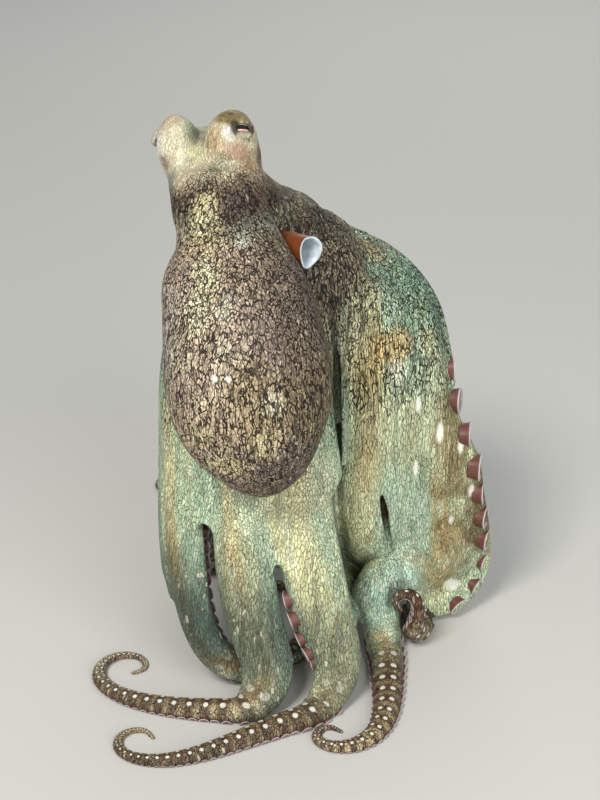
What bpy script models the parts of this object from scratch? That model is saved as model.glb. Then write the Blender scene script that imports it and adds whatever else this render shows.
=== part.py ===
"""Day octopus (Octopus cyanea), life size, sitting upright on its eight arms.

World: +Z up, the floor is z = 0, the animal looks along +Y and its right side is +X.
Sizes below are millimetres; meshes are made in metres.  The mantle hangs down behind
the head (towards -Y) and rests against a tall bell of arms and web.  Arms are numbered
from the front midline: L1, R1 in front (+Y), L4, R4 under the mantle (-Y).
"""

import math

import bmesh
import bpy
import numpy as np

MM = 0.001
GAP = 0.3            # clearance between neighbouring solids
SHIFT = (1.5, -42.1, 0.0)   # puts the middle of the footprint at the origin

# ------------------------------------------------------------------ scene


def clear_scene():
    for obj in list(bpy.data.objects):
        bpy.data.objects.remove(obj, do_unlink=True)
    for mesh in list(bpy.data.meshes):
        bpy.data.meshes.remove(mesh)


MATERIALS = {}


def material(name, colour, roughness=0.5):
    if name not in MATERIALS:
        mat = bpy.data.materials.new(name)
        mat.use_nodes = True
        bsdf = mat.node_tree.nodes["Principled BSDF"]
        bsdf.inputs["Base Color"].default_value = (*colour, 1)
        bsdf.inputs["Roughness"].default_value = roughness
        bsdf.inputs["Metallic"].default_value = 0.0
        MATERIALS[name] = mat
    return MATERIALS[name]


def add_object(name, verts, faces, mat=None, helper=False):
    mesh = bpy.data.meshes.new(name)
    points = (np.asarray(verts, float) + SHIFT) * MM
    mesh.from_pydata([tuple(p) for p in points], [], [tuple(f) for f in faces])
    mesh.validate()
    mesh.shade_smooth()
    mesh.set_sharp_from_angle(angle=math.radians(50))
    obj = bpy.data.objects.new(name, mesh)
    bpy.context.scene.collection.objects.link(obj)
    if helper:
        obj.hide_render = True
        obj.display_type = "WIRE"
    elif mat:
        mesh.materials.append(mat)
    return obj


# ------------------------------------------------------------------ curves


def unit(v):
    return v / np.maximum(np.linalg.norm(v, axis=-1, keepdims=True), 1e-9)


def natural_spline(stations, samples=500):
    """A curve with continuous bend through the stations (any number of columns;
    the first three are the position), returned at `samples` even steps of length."""
    p = np.asarray(stations, float)
    knots = np.r_[0, np.cumsum(np.linalg.norm(np.diff(p[:, :3], axis=0), axis=1) ** 0.6)]
    n, h = len(p), np.diff(knots)
    a, b = np.eye(n), np.zeros_like(p)
    for i in range(1, n - 1):
        a[i, i - 1], a[i, i], a[i, i + 1] = h[i - 1], 2 * (h[i - 1] + h[i]), h[i]
        b[i] = 6 * ((p[i + 1] - p[i]) / h[i] - (p[i] - p[i - 1]) / h[i - 1])
    m = np.linalg.solve(a, b)
    t = np.linspace(0, knots[-1], samples * 2)
    k = np.clip(np.searchsorted(knots, t, "right") - 1, 0, n - 2)
    u = (t - knots[k])[:, None]
    hk = h[k][:, None]
    q = (p[k] + u * ((p[k + 1] - p[k]) / hk - hk * (2 * m[k] + m[k + 1]) / 6)
         + u ** 2 * m[k] / 2 + u ** 3 * (m[k + 1] - m[k]) / (6 * hk))
    length = np.r_[0, np.cumsum(np.linalg.norm(np.diff(q[:, :3], axis=0), axis=1))]
    even = np.linspace(0, length[-1], samples)
    return np.stack([np.interp(even, length, q[:, c]) for c in range(q.shape[1])], 1), even


def floor_run(x, y, heading, length, bend, curl, step=7.0):
    """Stations of an arm that lies on the floor: it starts at (x, y) along `heading`,
    turns evenly by `bend` degrees and gathers `curl` more degrees towards its tip."""
    count = int(length / step)
    rows, ds = [], length / (count * 8)
    for i in range(count * 8 + 1):
        sigma = i / (count * 8)
        if i % 8 == 0:
            rows.append((x, y, 0.0, 0, 0, 1))
        angle = math.radians(heading + bend * sigma + curl * sigma ** 4)
        x += ds * math.cos(angle)
        y += ds * math.sin(angle)
    return rows[1:]


# ------------------------------------------------------------------ arms

CROWN = (-4.0, -13.0, 186.0)      # middle of the ring where the eight arms meet


def bell_stations(azimuth, drift, foot, radii=(24, 42, 56, 63, 68, 76), centre=(10.0, 2.0)):
    """Core line of an arm that follows the back of the bell down to the floor.
    azimuth is at the crown, drift is the turn down to the foot."""
    heights = (187, 178, 156, 124, 84, 44)
    rows = []
    for r, z in zip((*radii, foot), (*heights, 13)):
        f = min(1.0, (187 - z) / 130)
        a = math.radians(azimuth + drift * (187 - z) / 174)
        cx = CROWN[0] + (centre[0] - CROWN[0]) * f
        cy = CROWN[1] + (centre[1] - CROWN[1]) * f
        up = 1.2 if z > 180 else 0.7 if z > 170 else 0.25 if z > 140 else 0.05 if z > 30 else 0.9
        rows.append((cx + r * math.sin(a), cy - r * math.cos(a), z, math.sin(a), -math.cos(a), up))
    return rows


# name: stations (x, y, z, facing of the outer side), core width, margin width and where,
ARMS = {
    "L4": dict(
        path=[(-14, -32, 187, -.3, -.8, 1), (-22, -39, 170, -.3, -1, .5), (-27, -45, 142, -.2, -1, .2),
              (-31, -56, 100, -.15, -1, .1), (-26.5, -68, 78, -.1, -1, 0), (-22.5, -75, 56, -.05, -1, 0),
              (-18, -78, 34, 0, -1, .1), (-15, -82, 14, 0, -.8, .7)]
        + floor_run(-21, -90, 180, 128, -44, -320),
        core=21.0, margin=(4.8, 100, 196)),
    "R4": dict(
        path=[(3.3, -33, 187, .3, -.8, 1), (5, -38, 170, .3, -1, .5), (0, -45, 142, .1, -1, .2),
              (-2, -55, 104, .1, -1, .15), (1, -67, 81, .1, -1, 0), (6.5, -73, 58, .15, -1, 0),
              (12, -74, 35, .2, -1, .1), (16, -77, 14, .2, -.8, .7)]
        + floor_run(8, -92, 205, 125, 30, -330),
        core=21.5, margin=(4.2, 60, 185)),
    "L3": dict(
        path=[(-25, -20, 187, -.8, -.5, 1), (-38, -26, 174, -.8, -.6, .5), (-47, -31, 148, -.8, -.6, .2),
              (-51, -34, 122, -.8, -.6, .1), (-51, -43, 100, -.75, -.7, .1), (-50.5, -53, 80, -.65, -.75, 0),
              (-49.5, -60, 62, -.55, -.8, 0), (-47, -65, 42, -.5, -.85, 0), (-40, -67, 22, -.35, -.9, .3),
              (-28, -63, 9, 0, -.5, .8)]
        + floor_run(-18, -57, 35, 150, 130, 340),
        core=20.5, margin=(2.0, 80, 170)),
    "R3": dict(
        path=[(13.5, -23, 187, .45, -.65, 1), (20, -23.5, 177, .45, -.75, .5), (25.5, -23, 157, .4, -.9, .15),
              (28.6, -24, 128, .3, -.9, .1), (28.6, -25, 100, .2, -1, 0), (28.6, -24, 75, .1, -1, 0),
              (30.5, -17, 52, .1, -1, 0), (31, -2, 34, .05, -.9, .3), (28, 12, 15, 0, -.3, 1),
              (23, 26, 4, 0, 0, 1), (27, 43, 4, 0, 0, 1), (41, 41, 3.8, 0, 0, 1), (48, 24, 3.6, 0, 0, 1),
              (53, 4, 3.2, 0, 0, 1), (56, -13, 3.2, 0, 0, 1), (56, -27, 5.5, .5, -.3, -.4),
              (52.8, -36, 13, .8, -.2, -.6), (53.9, -39, 22, 1, 0, 0), (52.4, -40, 30.2, .8, 0, .6),
              (48.2, -40.6, 33.2, 0, 0, 1), (44.2, -40.6, 30.6, -.9, 0, .5), (44.2, -40.2, 26.0, -.9, 0, -.4),
              (46.6, -40, 23.6, -.2, 0, -1)],
        core=20.5, margin=(2.5, 70, 165), taper=3.9),
    "R2": dict(
        path=[(18, -5, 183, .65, -.2, 1), (30, -1, 177, .6, -.35, .8), (41, -2, 168, .7, -.5, .4),
              (50, -7, 153, .6, -.7, .2), (54.5, -11, 135, .4, -.8, .05), (57, -13, 117, .2, -.95, 0),
              (59.5, -14, 98, 0, -1, 0), (62, -11, 79, -.1, -.95, 0), (66, -3, 59, -.2, -.9, .1),
              (70, 5, 40, -.3, -.8, .4), (71, 10, 21, -.3, -.7, .6), (66, 5, 14, -.2, -.6, .8),
              (58, -4, 17.5, 0, -.8, .6), (49.5, -10, 23, -.1, -.8, .6),
              (40.5, -16, 20, -.6, -.4, .6), (38, -30, 11, -.3, 0, 1)]
        + floor_run(40, -44, 268, 112, 4, -350),
        core=25.5, margin=(6.0, 85, 216), taper=3.0),
    "R1": dict(path=bell_stations(155, -9, 90) + floor_run(66, 88, 70, 185, 16, 330),
               core=24.0, margin=(3.0, 60, 190)),
    "L1": dict(path=bell_stations(203, -3, 92) + floor_run(-23, 98, 88, 168, -6, -330),
               core=24.0, margin=(3.0, 60, 190)),
    "L2": dict(path=bell_stations(247, -4, 62, radii=(24, 38, 50, 57, 58, 59)) + floor_run(-47, 42, 82, 150, -2, 350),
               core=22.5, margin=(3.0, 60, 190)),
}
RING = ["R4", "R3", "R2", "R1", "L1", "L2", "L3", "L4"]     # round the crown
TIP = 1.6


class Arm:
    """Core line, frame and section of one arm, looked up by length s from the crown."""

    def __init__(self, name):
        spec = ARMS[name]
        q, self.s = natural_spline(spec["path"])
        self.length = self.s[-1]
        sigma = self.s / self.length
        slim = 0.76 + 0.24 * np.clip(self.s / 45, 0, 1)      # the arms crowd where they meet
        self.core = spec["core"] * (1 - sigma ** spec.get("taper", 2.0)) * (1 - 0.25 * sigma) * slim + TIP
        size, start, end = spec["margin"]
        bump = np.clip((self.s - start) / 40, 0, 1) * np.clip((end + 25 - self.s) / 50, 0, 1)
        self.bump = bump * bump * (3 - 2 * bump)
        self.width = self.core + 2 * size * self.bump
        self.thick = 0.80 * self.core
        self.point = q[:, :3].copy()
        # where an arm lies on the floor, its suckers are pressed flat against it
        self.point[:, 2] = np.maximum(self.point[:, 2], 0.345 * self.thick)
        self.tangent = unit(np.gradient(self.point, axis=0))
        face = q[:, 3:6]
        face = face - (face * self.tangent).sum(1, keepdims=True) * self.tangent
        self.normal = unit(face)
        self.side = np.cross(self.normal, self.tangent)

    def at(self, s):
        def pick(values):
            return np.array([np.interp(s, self.s, values[:, c]) for c in range(3)])
        return (pick(self.point), unit(pick(self.side)), unit(pick(self.normal)),
                float(np.interp(s, self.s, self.width)), float(np.interp(s, self.s, self.thick)),
                float(np.interp(s, self.s, self.bump)))

    def ring(self, s, count):
        """One section: rounded outside, flatter on the sucker side, thinner at its margins."""
        point, side, normal, width, thick, bump = self.at(s)
        rows, half = [], 0.5 if count % 4 == 0 else 0.0     # a flat, not an edge, faces the floor
        for j in range(count):
            phi = 2 * math.pi * (j + half) / count
            c, v = math.cos(phi), math.sin(phi)
            high = abs(v) ** (1 + 0.7 * bump) * (1 if v > 0 else -0.78)
            rows.append(point + side * (width / 2 * c) + normal * (thick / 2 * high))
        rows = np.array(rows)
        rows[:, 2] = np.maximum(rows[:, 2], 0.0)
        return rows

    def stops(self, start, end, stride, swing):
        """Places of the rings between two lengths, closer together where the arm curls."""
        inside = (self.s >= start) & (self.s <= end)
        s = np.r_[start, self.s[inside], end]
        t = np.array([np.interp(s, self.s, self.tangent[:, c]) for c in range(3)]).T
        turn = np.r_[0, np.linalg.norm(np.diff(t, axis=0), axis=1)]
        cost = np.cumsum(np.r_[0, np.diff(s)] / stride + turn / math.radians(swing))
        count = max(2, int(round(cost[-1])))
        return np.interp(np.linspace(0, cost[-1], count + 1), cost, s)


def loft(rings):
    """Closed solid through rings that run counter-clockwise about the direction of travel."""
    count, verts, faces = len(rings[0]), np.concatenate(rings), []
    for k in range(len(rings) - 1):
        for j in range(count):
            a, b = k * count + j, k * count + (j + 1) % count
            faces.append((a, b, b + count, a + count))
    last = (len(rings) - 1) * count
    faces.append(tuple(reversed(range(count))))
    faces.append(tuple(range(last, last + count)))
    return verts, faces


def arm_length(arm, start, end, count=10, stride=17.0, swing=38.0):
    return loft([arm.ring(s, count) for s in arm.stops(start, end, stride, swing)])


# ------------------------------------------------------------------ web

WEB = {  # between two arms: how far down each arm it reaches, and the height of its scallop
    ("R4", "R3"): (100, 92, 0.05), ("R3", "R2"): (150, 168, 0.0), ("R2", "R1"): (78, 122, 0.24),
    ("R1", "L1"): (184, 184, 0.22), ("L1", "L2"): (184, 184, 0.22), ("L2", "L3"): (172, 156, 0.20),
    ("L3", "L4"): (126, 113, 0.03), ("L4", "R4"): (135, 127, 0.03),
}
WEB_START, WEB_THICK, WEB_LIFT = 19.0, 2.4, 0.20
WEB_FULL = {("R3", "R2"): dict(lift=0.34, sag=0.20)}          # stretched tight over the arms
WEB_FREE = {("R3", "R2"): 108.0}     # past this length the sheet hangs free of the first arm


def web_sheet(first, second, reach_a, reach_b, scallop, across, down, gap, start=WEB_START, free=None,
              lift=WEB_LIFT, sag=0.10):
    """A sheet between the facing margins of two arms; it sags outwards a little."""
    outer, inner = [], []
    for k in range(down + 1):
        v = k / down
        for j in range(across + 1):
            u = j / across
            cut = 1 - scallop * 4 * u * (1 - u)
            pa, sa, na, wa, ta, _ = first.at(start + (reach_a - start) * v * cut)
            pb, sb, nb, wb, tb, _ = second.at(start + (reach_b - start) * v * cut)
            past = start + (reach_a - start) * v * cut - (free or 1e9)
            slit = 0.0 if past < 0 else min(past / 3, 1) * (1.0 + 2.2 * math.exp(-((past - 8) / 7) ** 2))
            left, right = pa + sa * (wa / 2), pb - sb * (wb / 2)
            normal = unit(np.cross(np.cross(sa, na) + np.cross(sb, nb), right - left))
            left = left + sa * (gap + slit + WEB_THICK / 2 * abs(normal @ sa)) + na * (lift * ta)
            right = right - sb * (gap + WEB_THICK / 2 * abs(normal @ sb)) + nb * (lift * tb)
            span = np.linalg.norm(right - left)
            point = left * (1 - u) + right * u + normal * (sag * span * 4 * u * (1 - u))
            outer.append(point + normal * WEB_THICK / 2)
            inner.append(point - normal * WEB_THICK / 2)
    return outer, inner


def sheet_solid(outer, inner, across, down):
    n = (across + 1) * (down + 1)
    faces = []

    def at(k, j):
        return k * (across + 1) + j

    for k in range(down):
        for j in range(across):
            a, b, c, d = at(k, j), at(k, j + 1), at(k + 1, j + 1), at(k + 1, j)
            faces.append((a, d, c, b))
            faces.append((a + n, b + n, c + n, d + n))
    rim = ([at(0, j) for j in range(across)] + [at(k, across) for k in range(down)]
           + [at(down, j) for j in range(across, 0, -1)] + [at(k, 0) for k in range(down, 0, -1)])
    for a, b in zip(rim, rim[1:] + rim[:1]):
        faces.append((a, b, b + n, a + n))
    return np.array(outer + inner), faces


# ------------------------------------------------------------------ mantle, head, crown

# centre line of the mantle with its half width and half depth, from neck to tip
MANTLE = [(-33, -50, 231, 16.0, 13.0), (-32, -56, 221, 18.2, 16.0), (-29.5, -62, 210, 22.0, 20.0),
          (-28, -68, 199, 27.8, 24.5), (-25.5, -74, 187, 31.0, 27.5), (-22, -81, 170, 33.6, 29.5),
          (-20.3, -86, 154, 33.6, 29.0), (-18.6, -88.5, 139, 29.8, 25.5), (-16.8, -88.5, 127, 23.0, 19.5),
          (-16.0, -87.5, 117.5, 15.0, 13.0), (-15.8, -86.5, 111.0, 6.5, 6.0)]
# trunk of the head, from the neck over to the crown: centre, half width, half depth
HEAD = [(-33, -54, 224, 14.8, 12.5), (-35, -46, 231, 15.4, 12.0), (-34, -38, 229, 16.6, 13.0),
        (-28, -31, 218, 18.0, 15.5), (-18, -24, 204, 21.0, 19.0), (-8, -17, 190, 24.0, 23.0)]
# rounded lobes that rise from it: centre, radii, tilt towards +X in degrees
LOBES = {
    "right_turret": ((-28.0, -43.5, 247.0), (10.6, 11.5, 13.0), 8),
    "left_turret": ((-49.6, -36, 242.4), (8.8, 11.0, 13.2), -8),
    "left_cheek": ((-44.0, -39, 230.0), (8.4, 10.5, 12.5), 14),
    "right_cheek": ((-24.5, -42, 236.5), (8.6, 9.5, 10.5), 0),
    "brow": ((-38.5, -29, 234.0), (14.5, 12.0, 14.5), 0),
}
EYES = {  # centre and radius of the ball; the lens looks along `look`
    "R": dict(centre=(-25.4, -47.4, 251.1), radius=6.2, look=(0.42, -0.62, 0.66)),
    "L": dict(centre=(-53.0, -34.2, 243.9), radius=6.2, look=(-0.72, 0.60, 0.36)),
}
# funnel: centre, outer radius; it opens at the last station
SIPHON = [(-16, -36, 205.5, 3.6), (-9.5, -43, 205.2, 4.6), (-2.7, -51, 205.0, 5.5), (4.2, -58.5, 204.9, 6.3)]
SIPHON_WALL, SIPHON_DEPTH = 1.3, 15.0


def swept_ovals(stations, rings, count, across=(1.0, 0.0, 0.0)):
    """Sections square to a centre line, with a half width along `across` and a half depth."""
    q, length = natural_spline(stations)
    tangent = unit(np.gradient(q[:, :3], axis=0))
    out = []
    for s in rings * length[-1]:
        row = np.array([np.interp(s, length, q[:, c]) for c in range(5)])
        t = unit(np.array([np.interp(s, length, tangent[:, c]) for c in range(3)]))
        side = unit(np.array(across) - t * np.dot(across, t))
        normal = np.cross(t, side)
        phi = 2 * np.pi * np.arange(count) / count
        out.append(row[:3] + np.outer(np.cos(phi) * row[3], side) + np.outer(np.sin(phi) * row[4], normal))
    return out


def ellipsoid(centre, radii, tilt, around, down):
    rings = []
    for k in range(1, down):
        theta = math.pi * k / down
        rings.append([(radii[0] * math.sin(theta) * math.cos(2 * math.pi * j / around),
                       radii[1] * math.sin(theta) * math.sin(2 * math.pi * j / around),
                       -radii[2] * math.cos(theta)) for j in range(around)])
    verts = [(0, 0, -radii[2])] + [p for ring in rings for p in ring] + [(0, 0, radii[2])]
    faces = []
    for j in range(around):
        n = (j + 1) % around
        faces.append((0, 1 + n, 1 + j))
        for k in range(down - 2):
            a, b = 1 + k * around, 1 + (k + 1) * around
            faces.append((a + j, a + n, b + n, b + j))
        top = 1 + (down - 2) * around
        faces.append((len(verts) - 1, top + j, top + n))
    a = math.radians(tilt)
    verts = np.array(verts)
    x = verts[:, 0] * math.cos(a) + verts[:, 2] * math.sin(a)
    z = -verts[:, 0] * math.sin(a) + verts[:, 2] * math.cos(a)
    return np.stack([x, verts[:, 1], z], 1) + np.array(centre), faces


def merge(parts):
    verts, faces, base = [], [], 0
    for v, f in parts:
        verts.append(np.asarray(v))
        faces += [tuple(i + base for i in face) for face in f]
        base += len(v)
    return np.concatenate(verts), faces


def funnel(count=14):
    """A tube open at its far end: outer wall, lip, bore and the floor of the bore."""
    q, length = natural_spline(SIPHON)
    t = unit(np.gradient(q[:, :3], axis=0))

    def ring(s, inset):
        row = np.array([np.interp(s, length, q[:, c]) for c in range(4)])
        along = unit(np.array([np.interp(s, length, t[:, c]) for c in range(3)]))
        side = unit(np.cross((0, 0, 1.0), along))
        normal = np.cross(along, side)
        phi = 2 * np.pi * np.arange(count) / count
        r = max(0.6, row[3] - inset)
        return row[:3] + r * (np.outer(np.cos(phi), side) + np.outer(np.sin(phi) * 1.12, normal))

    end = length[-1]
    outer = [ring(s, 0) for s in np.linspace(0, end, 6)]
    bore = [ring(s, SIPHON_WALL + d) for s, d in
            ((end, 0), (end - 5, 0.3), (end - 11, 1.0), (end - SIPHON_DEPTH, 2.2))]
    return loft(outer + bore)


# ------------------------------------------------------------------ build


def grown(obj, amount=GAP):
    """A wire copy of a solid, grown by the clearance, to cut its neighbours with."""
    copy = obj.copy()
    copy.data = obj.data.copy()
    copy.name = "cut_" + obj.name
    bpy.context.scene.collection.objects.link(copy)
    copy.hide_render = True
    copy.display_type = "WIRE"
    swell = copy.modifiers.new("grow", "DISPLACE")
    swell.mid_level = 0.0
    swell.strength = amount * MM
    return copy


def cut(obj, cutter):
    mod = obj.modifiers.new("cut_" + cutter.name, "BOOLEAN")
    mod.operation = "DIFFERENCE"
    mod.object = cutter


def blend(obj, voxel, smooth, ratio):
    """Joins overlapping lobes into one rounded solid with few faces."""
    mod = obj.modifiers.new("join", "REMESH")
    mod.mode = "VOXEL"
    mod.voxel_size = voxel * MM
    mod = obj.modifiers.new("soften", "SMOOTH")
    mod.factor, mod.iterations = 0.5, smooth
    mod = obj.modifiers.new("thin", "DECIMATE")
    mod.ratio = ratio


def build():
    clear_scene()
    flesh = material("octopus_mottled_skin", (0.36, 0.27, 0.20), 0.45)
    pale = material("octopus_pale_web", (0.42, 0.50, 0.38), 0.45)
    cream = material("octopus_cream_head", (0.62, 0.50, 0.33), 0.45)
    rust = material("octopus_rust_funnel", (0.20, 0.07, 0.03), 0.4)
    ball = material("octopus_eye", (0.55, 0.45, 0.32), 0.15)

    arms = {name: Arm(name) for name in ARMS}

    crown = add_object("crown", *ellipsoid(CROWN, (26.0, 24.5, 25.0), 12, 18, 11), flesh)
    head_parts = [loft(swept_ovals(HEAD, np.linspace(0, 0.86, 10), 20))]
    head_parts += [ellipsoid(*LOBES[name], 20, 14) for name in sorted(LOBES)]
    head = add_object("head", *merge(head_parts), cream)
    blend(head, 1.5, 5, 0.06)
    mantle = add_object("mantle", *loft(swept_ovals(MANTLE, 1 - (1 - np.linspace(0, 1, 14)) ** 1.15, 18)), flesh)
    siphon = add_object("siphon", *funnel(), rust)
    eyes = {}
    for side, eye in EYES.items():
        eyes[side] = add_object("eye_" + side, *ellipsoid(eye["centre"], (eye["radius"],) * 3, 0, 14, 9), ball)

    crown_cutter = grown(crown)
    for eye in eyes.values():
        cut(head, grown(eye))
    cut(head, crown_cutter)
    head_cutter = grown(head, 0.5)
    cut(mantle, head_cutter)
    cut(mantle, crown_cutter)
    mantle_cutter = grown(mantle)
    for other in (mantle_cutter, head_cutter, crown_cutter):
        cut(siphon, other)

    for name, arm in arms.items():
        ends = [0.0, 0.36 * arm.length, 0.66 * arm.length, arm.length]
        for k, part in enumerate(("base", "middle", "tip")):
            start = ends[k] + (GAP / 2 if k else 0)
            end = ends[k + 1] - (GAP / 2 if k < 2 else 0)
            obj = add_object(f"arm_{name}_{part}", *arm_length(arm, start, end, (10, 10, 8)[k]), pale)
            if k == 0:
                cut(obj, crown_cutter)
                cut(obj, head_cutter)
    for (a, b), (ra, rb, scallop) in WEB.items():
        outer, inner = web_sheet(arms[a], arms[b], ra, rb, scallop, 3, 9, GAP, free=WEB_FREE.get((a, b)),
                                 **WEB_FULL.get((a, b), {}))
        web = add_object(f"web_{a}_{b}", *sheet_solid(outer, inner, 3, 9), pale)
        cut(web, crown_cutter)


build()
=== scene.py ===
"""Looks of the day octopus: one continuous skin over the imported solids, with its suckers, eyes and funnel.

Lengths below are millimetres in the animal's own frame, as in the solids; SHIFT takes
them to the row frame and MM to metres.  The skin is the smooth union of the body's
shapes on a fine grid of distances, so arms, web, crown, head and mantle have no seams.
"""

import math

import bpy
import numpy as np
import openvdb
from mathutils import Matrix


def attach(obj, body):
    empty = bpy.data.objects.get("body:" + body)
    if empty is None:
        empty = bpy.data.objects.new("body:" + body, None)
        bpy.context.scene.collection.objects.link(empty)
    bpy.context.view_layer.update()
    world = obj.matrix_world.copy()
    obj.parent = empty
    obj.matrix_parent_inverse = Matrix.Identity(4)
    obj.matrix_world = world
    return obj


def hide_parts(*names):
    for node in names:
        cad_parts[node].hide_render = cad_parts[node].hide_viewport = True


MM = 0.001
SHIFT = np.array([1.5, -42.1, 0.0])
BAND = 9.0             # how far from each shape its distances are kept
VOXEL = 0.8      # millimetres between the grid's points

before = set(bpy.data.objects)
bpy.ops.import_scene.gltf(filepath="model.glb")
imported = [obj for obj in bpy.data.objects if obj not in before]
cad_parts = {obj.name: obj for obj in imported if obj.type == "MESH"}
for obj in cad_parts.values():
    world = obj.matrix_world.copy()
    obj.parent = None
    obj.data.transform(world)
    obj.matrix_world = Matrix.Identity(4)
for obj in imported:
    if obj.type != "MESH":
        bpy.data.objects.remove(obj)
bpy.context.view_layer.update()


def smooth(x, low, high):
    """0 below low, 1 above high, eased between."""
    t = np.clip((np.asarray(x, float) - low) / (high - low), 0, 1)
    return t * t * (3 - 2 * t)


# ------------------------------------------------------------------ curves


def unit(v):
    return v / np.maximum(np.linalg.norm(v, axis=-1, keepdims=True), 1e-9)


def natural_spline(stations, samples=500):
    """A curve with continuous bend through the stations (any number of columns;
    the first three are the position), returned at `samples` even steps of length."""
    p = np.asarray(stations, float)
    knots = np.r_[0, np.cumsum(np.linalg.norm(np.diff(p[:, :3], axis=0), axis=1) ** 0.6)]
    n, h = len(p), np.diff(knots)
    a, b = np.eye(n), np.zeros_like(p)
    for i in range(1, n - 1):
        a[i, i - 1], a[i, i], a[i, i + 1] = h[i - 1], 2 * (h[i - 1] + h[i]), h[i]
        b[i] = 6 * ((p[i + 1] - p[i]) / h[i] - (p[i] - p[i - 1]) / h[i - 1])
    m = np.linalg.solve(a, b)
    t = np.linspace(0, knots[-1], samples * 2)
    k = np.clip(np.searchsorted(knots, t, "right") - 1, 0, n - 2)
    u = (t - knots[k])[:, None]
    hk = h[k][:, None]
    q = (p[k] + u * ((p[k + 1] - p[k]) / hk - hk * (2 * m[k] + m[k + 1]) / 6)
         + u ** 2 * m[k] / 2 + u ** 3 * (m[k + 1] - m[k]) / (6 * hk))
    length = np.r_[0, np.cumsum(np.linalg.norm(np.diff(q[:, :3], axis=0), axis=1))]
    even = np.linspace(0, length[-1], samples)
    return np.stack([np.interp(even, length, q[:, c]) for c in range(q.shape[1])], 1), even


def floor_run(x, y, heading, length, bend, curl, step=7.0):
    """Stations of an arm that lies on the floor: it starts at (x, y) along `heading`,
    turns evenly by `bend` degrees and gathers `curl` more degrees towards its tip."""
    count = int(length / step)
    rows, ds = [], length / (count * 8)
    for i in range(count * 8 + 1):
        sigma = i / (count * 8)
        if i % 8 == 0:
            rows.append((x, y, 0.0, 0, 0, 1))
        angle = math.radians(heading + bend * sigma + curl * sigma ** 4)
        x += ds * math.cos(angle)
        y += ds * math.sin(angle)
    return rows[1:]


# ------------------------------------------------------------------ arms

CROWN = (-4.0, -13.0, 186.0)      # middle of the ring where the eight arms meet


def bell_stations(azimuth, drift, foot, radii=(24, 42, 56, 63, 68, 76), centre=(10.0, 2.0)):
    """Core line of an arm that follows the back of the bell down to the floor.
    azimuth is at the crown, drift is the turn down to the foot."""
    heights = (187, 178, 156, 124, 84, 44)
    rows = []
    for r, z in zip((*radii, foot), (*heights, 13)):
        f = min(1.0, (187 - z) / 130)
        a = math.radians(azimuth + drift * (187 - z) / 174)
        cx = CROWN[0] + (centre[0] - CROWN[0]) * f
        cy = CROWN[1] + (centre[1] - CROWN[1]) * f
        up = 1.2 if z > 180 else 0.7 if z > 170 else 0.25 if z > 140 else 0.05 if z > 30 else 0.9
        rows.append((cx + r * math.sin(a), cy - r * math.cos(a), z, math.sin(a), -math.cos(a), up))
    return rows


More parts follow.
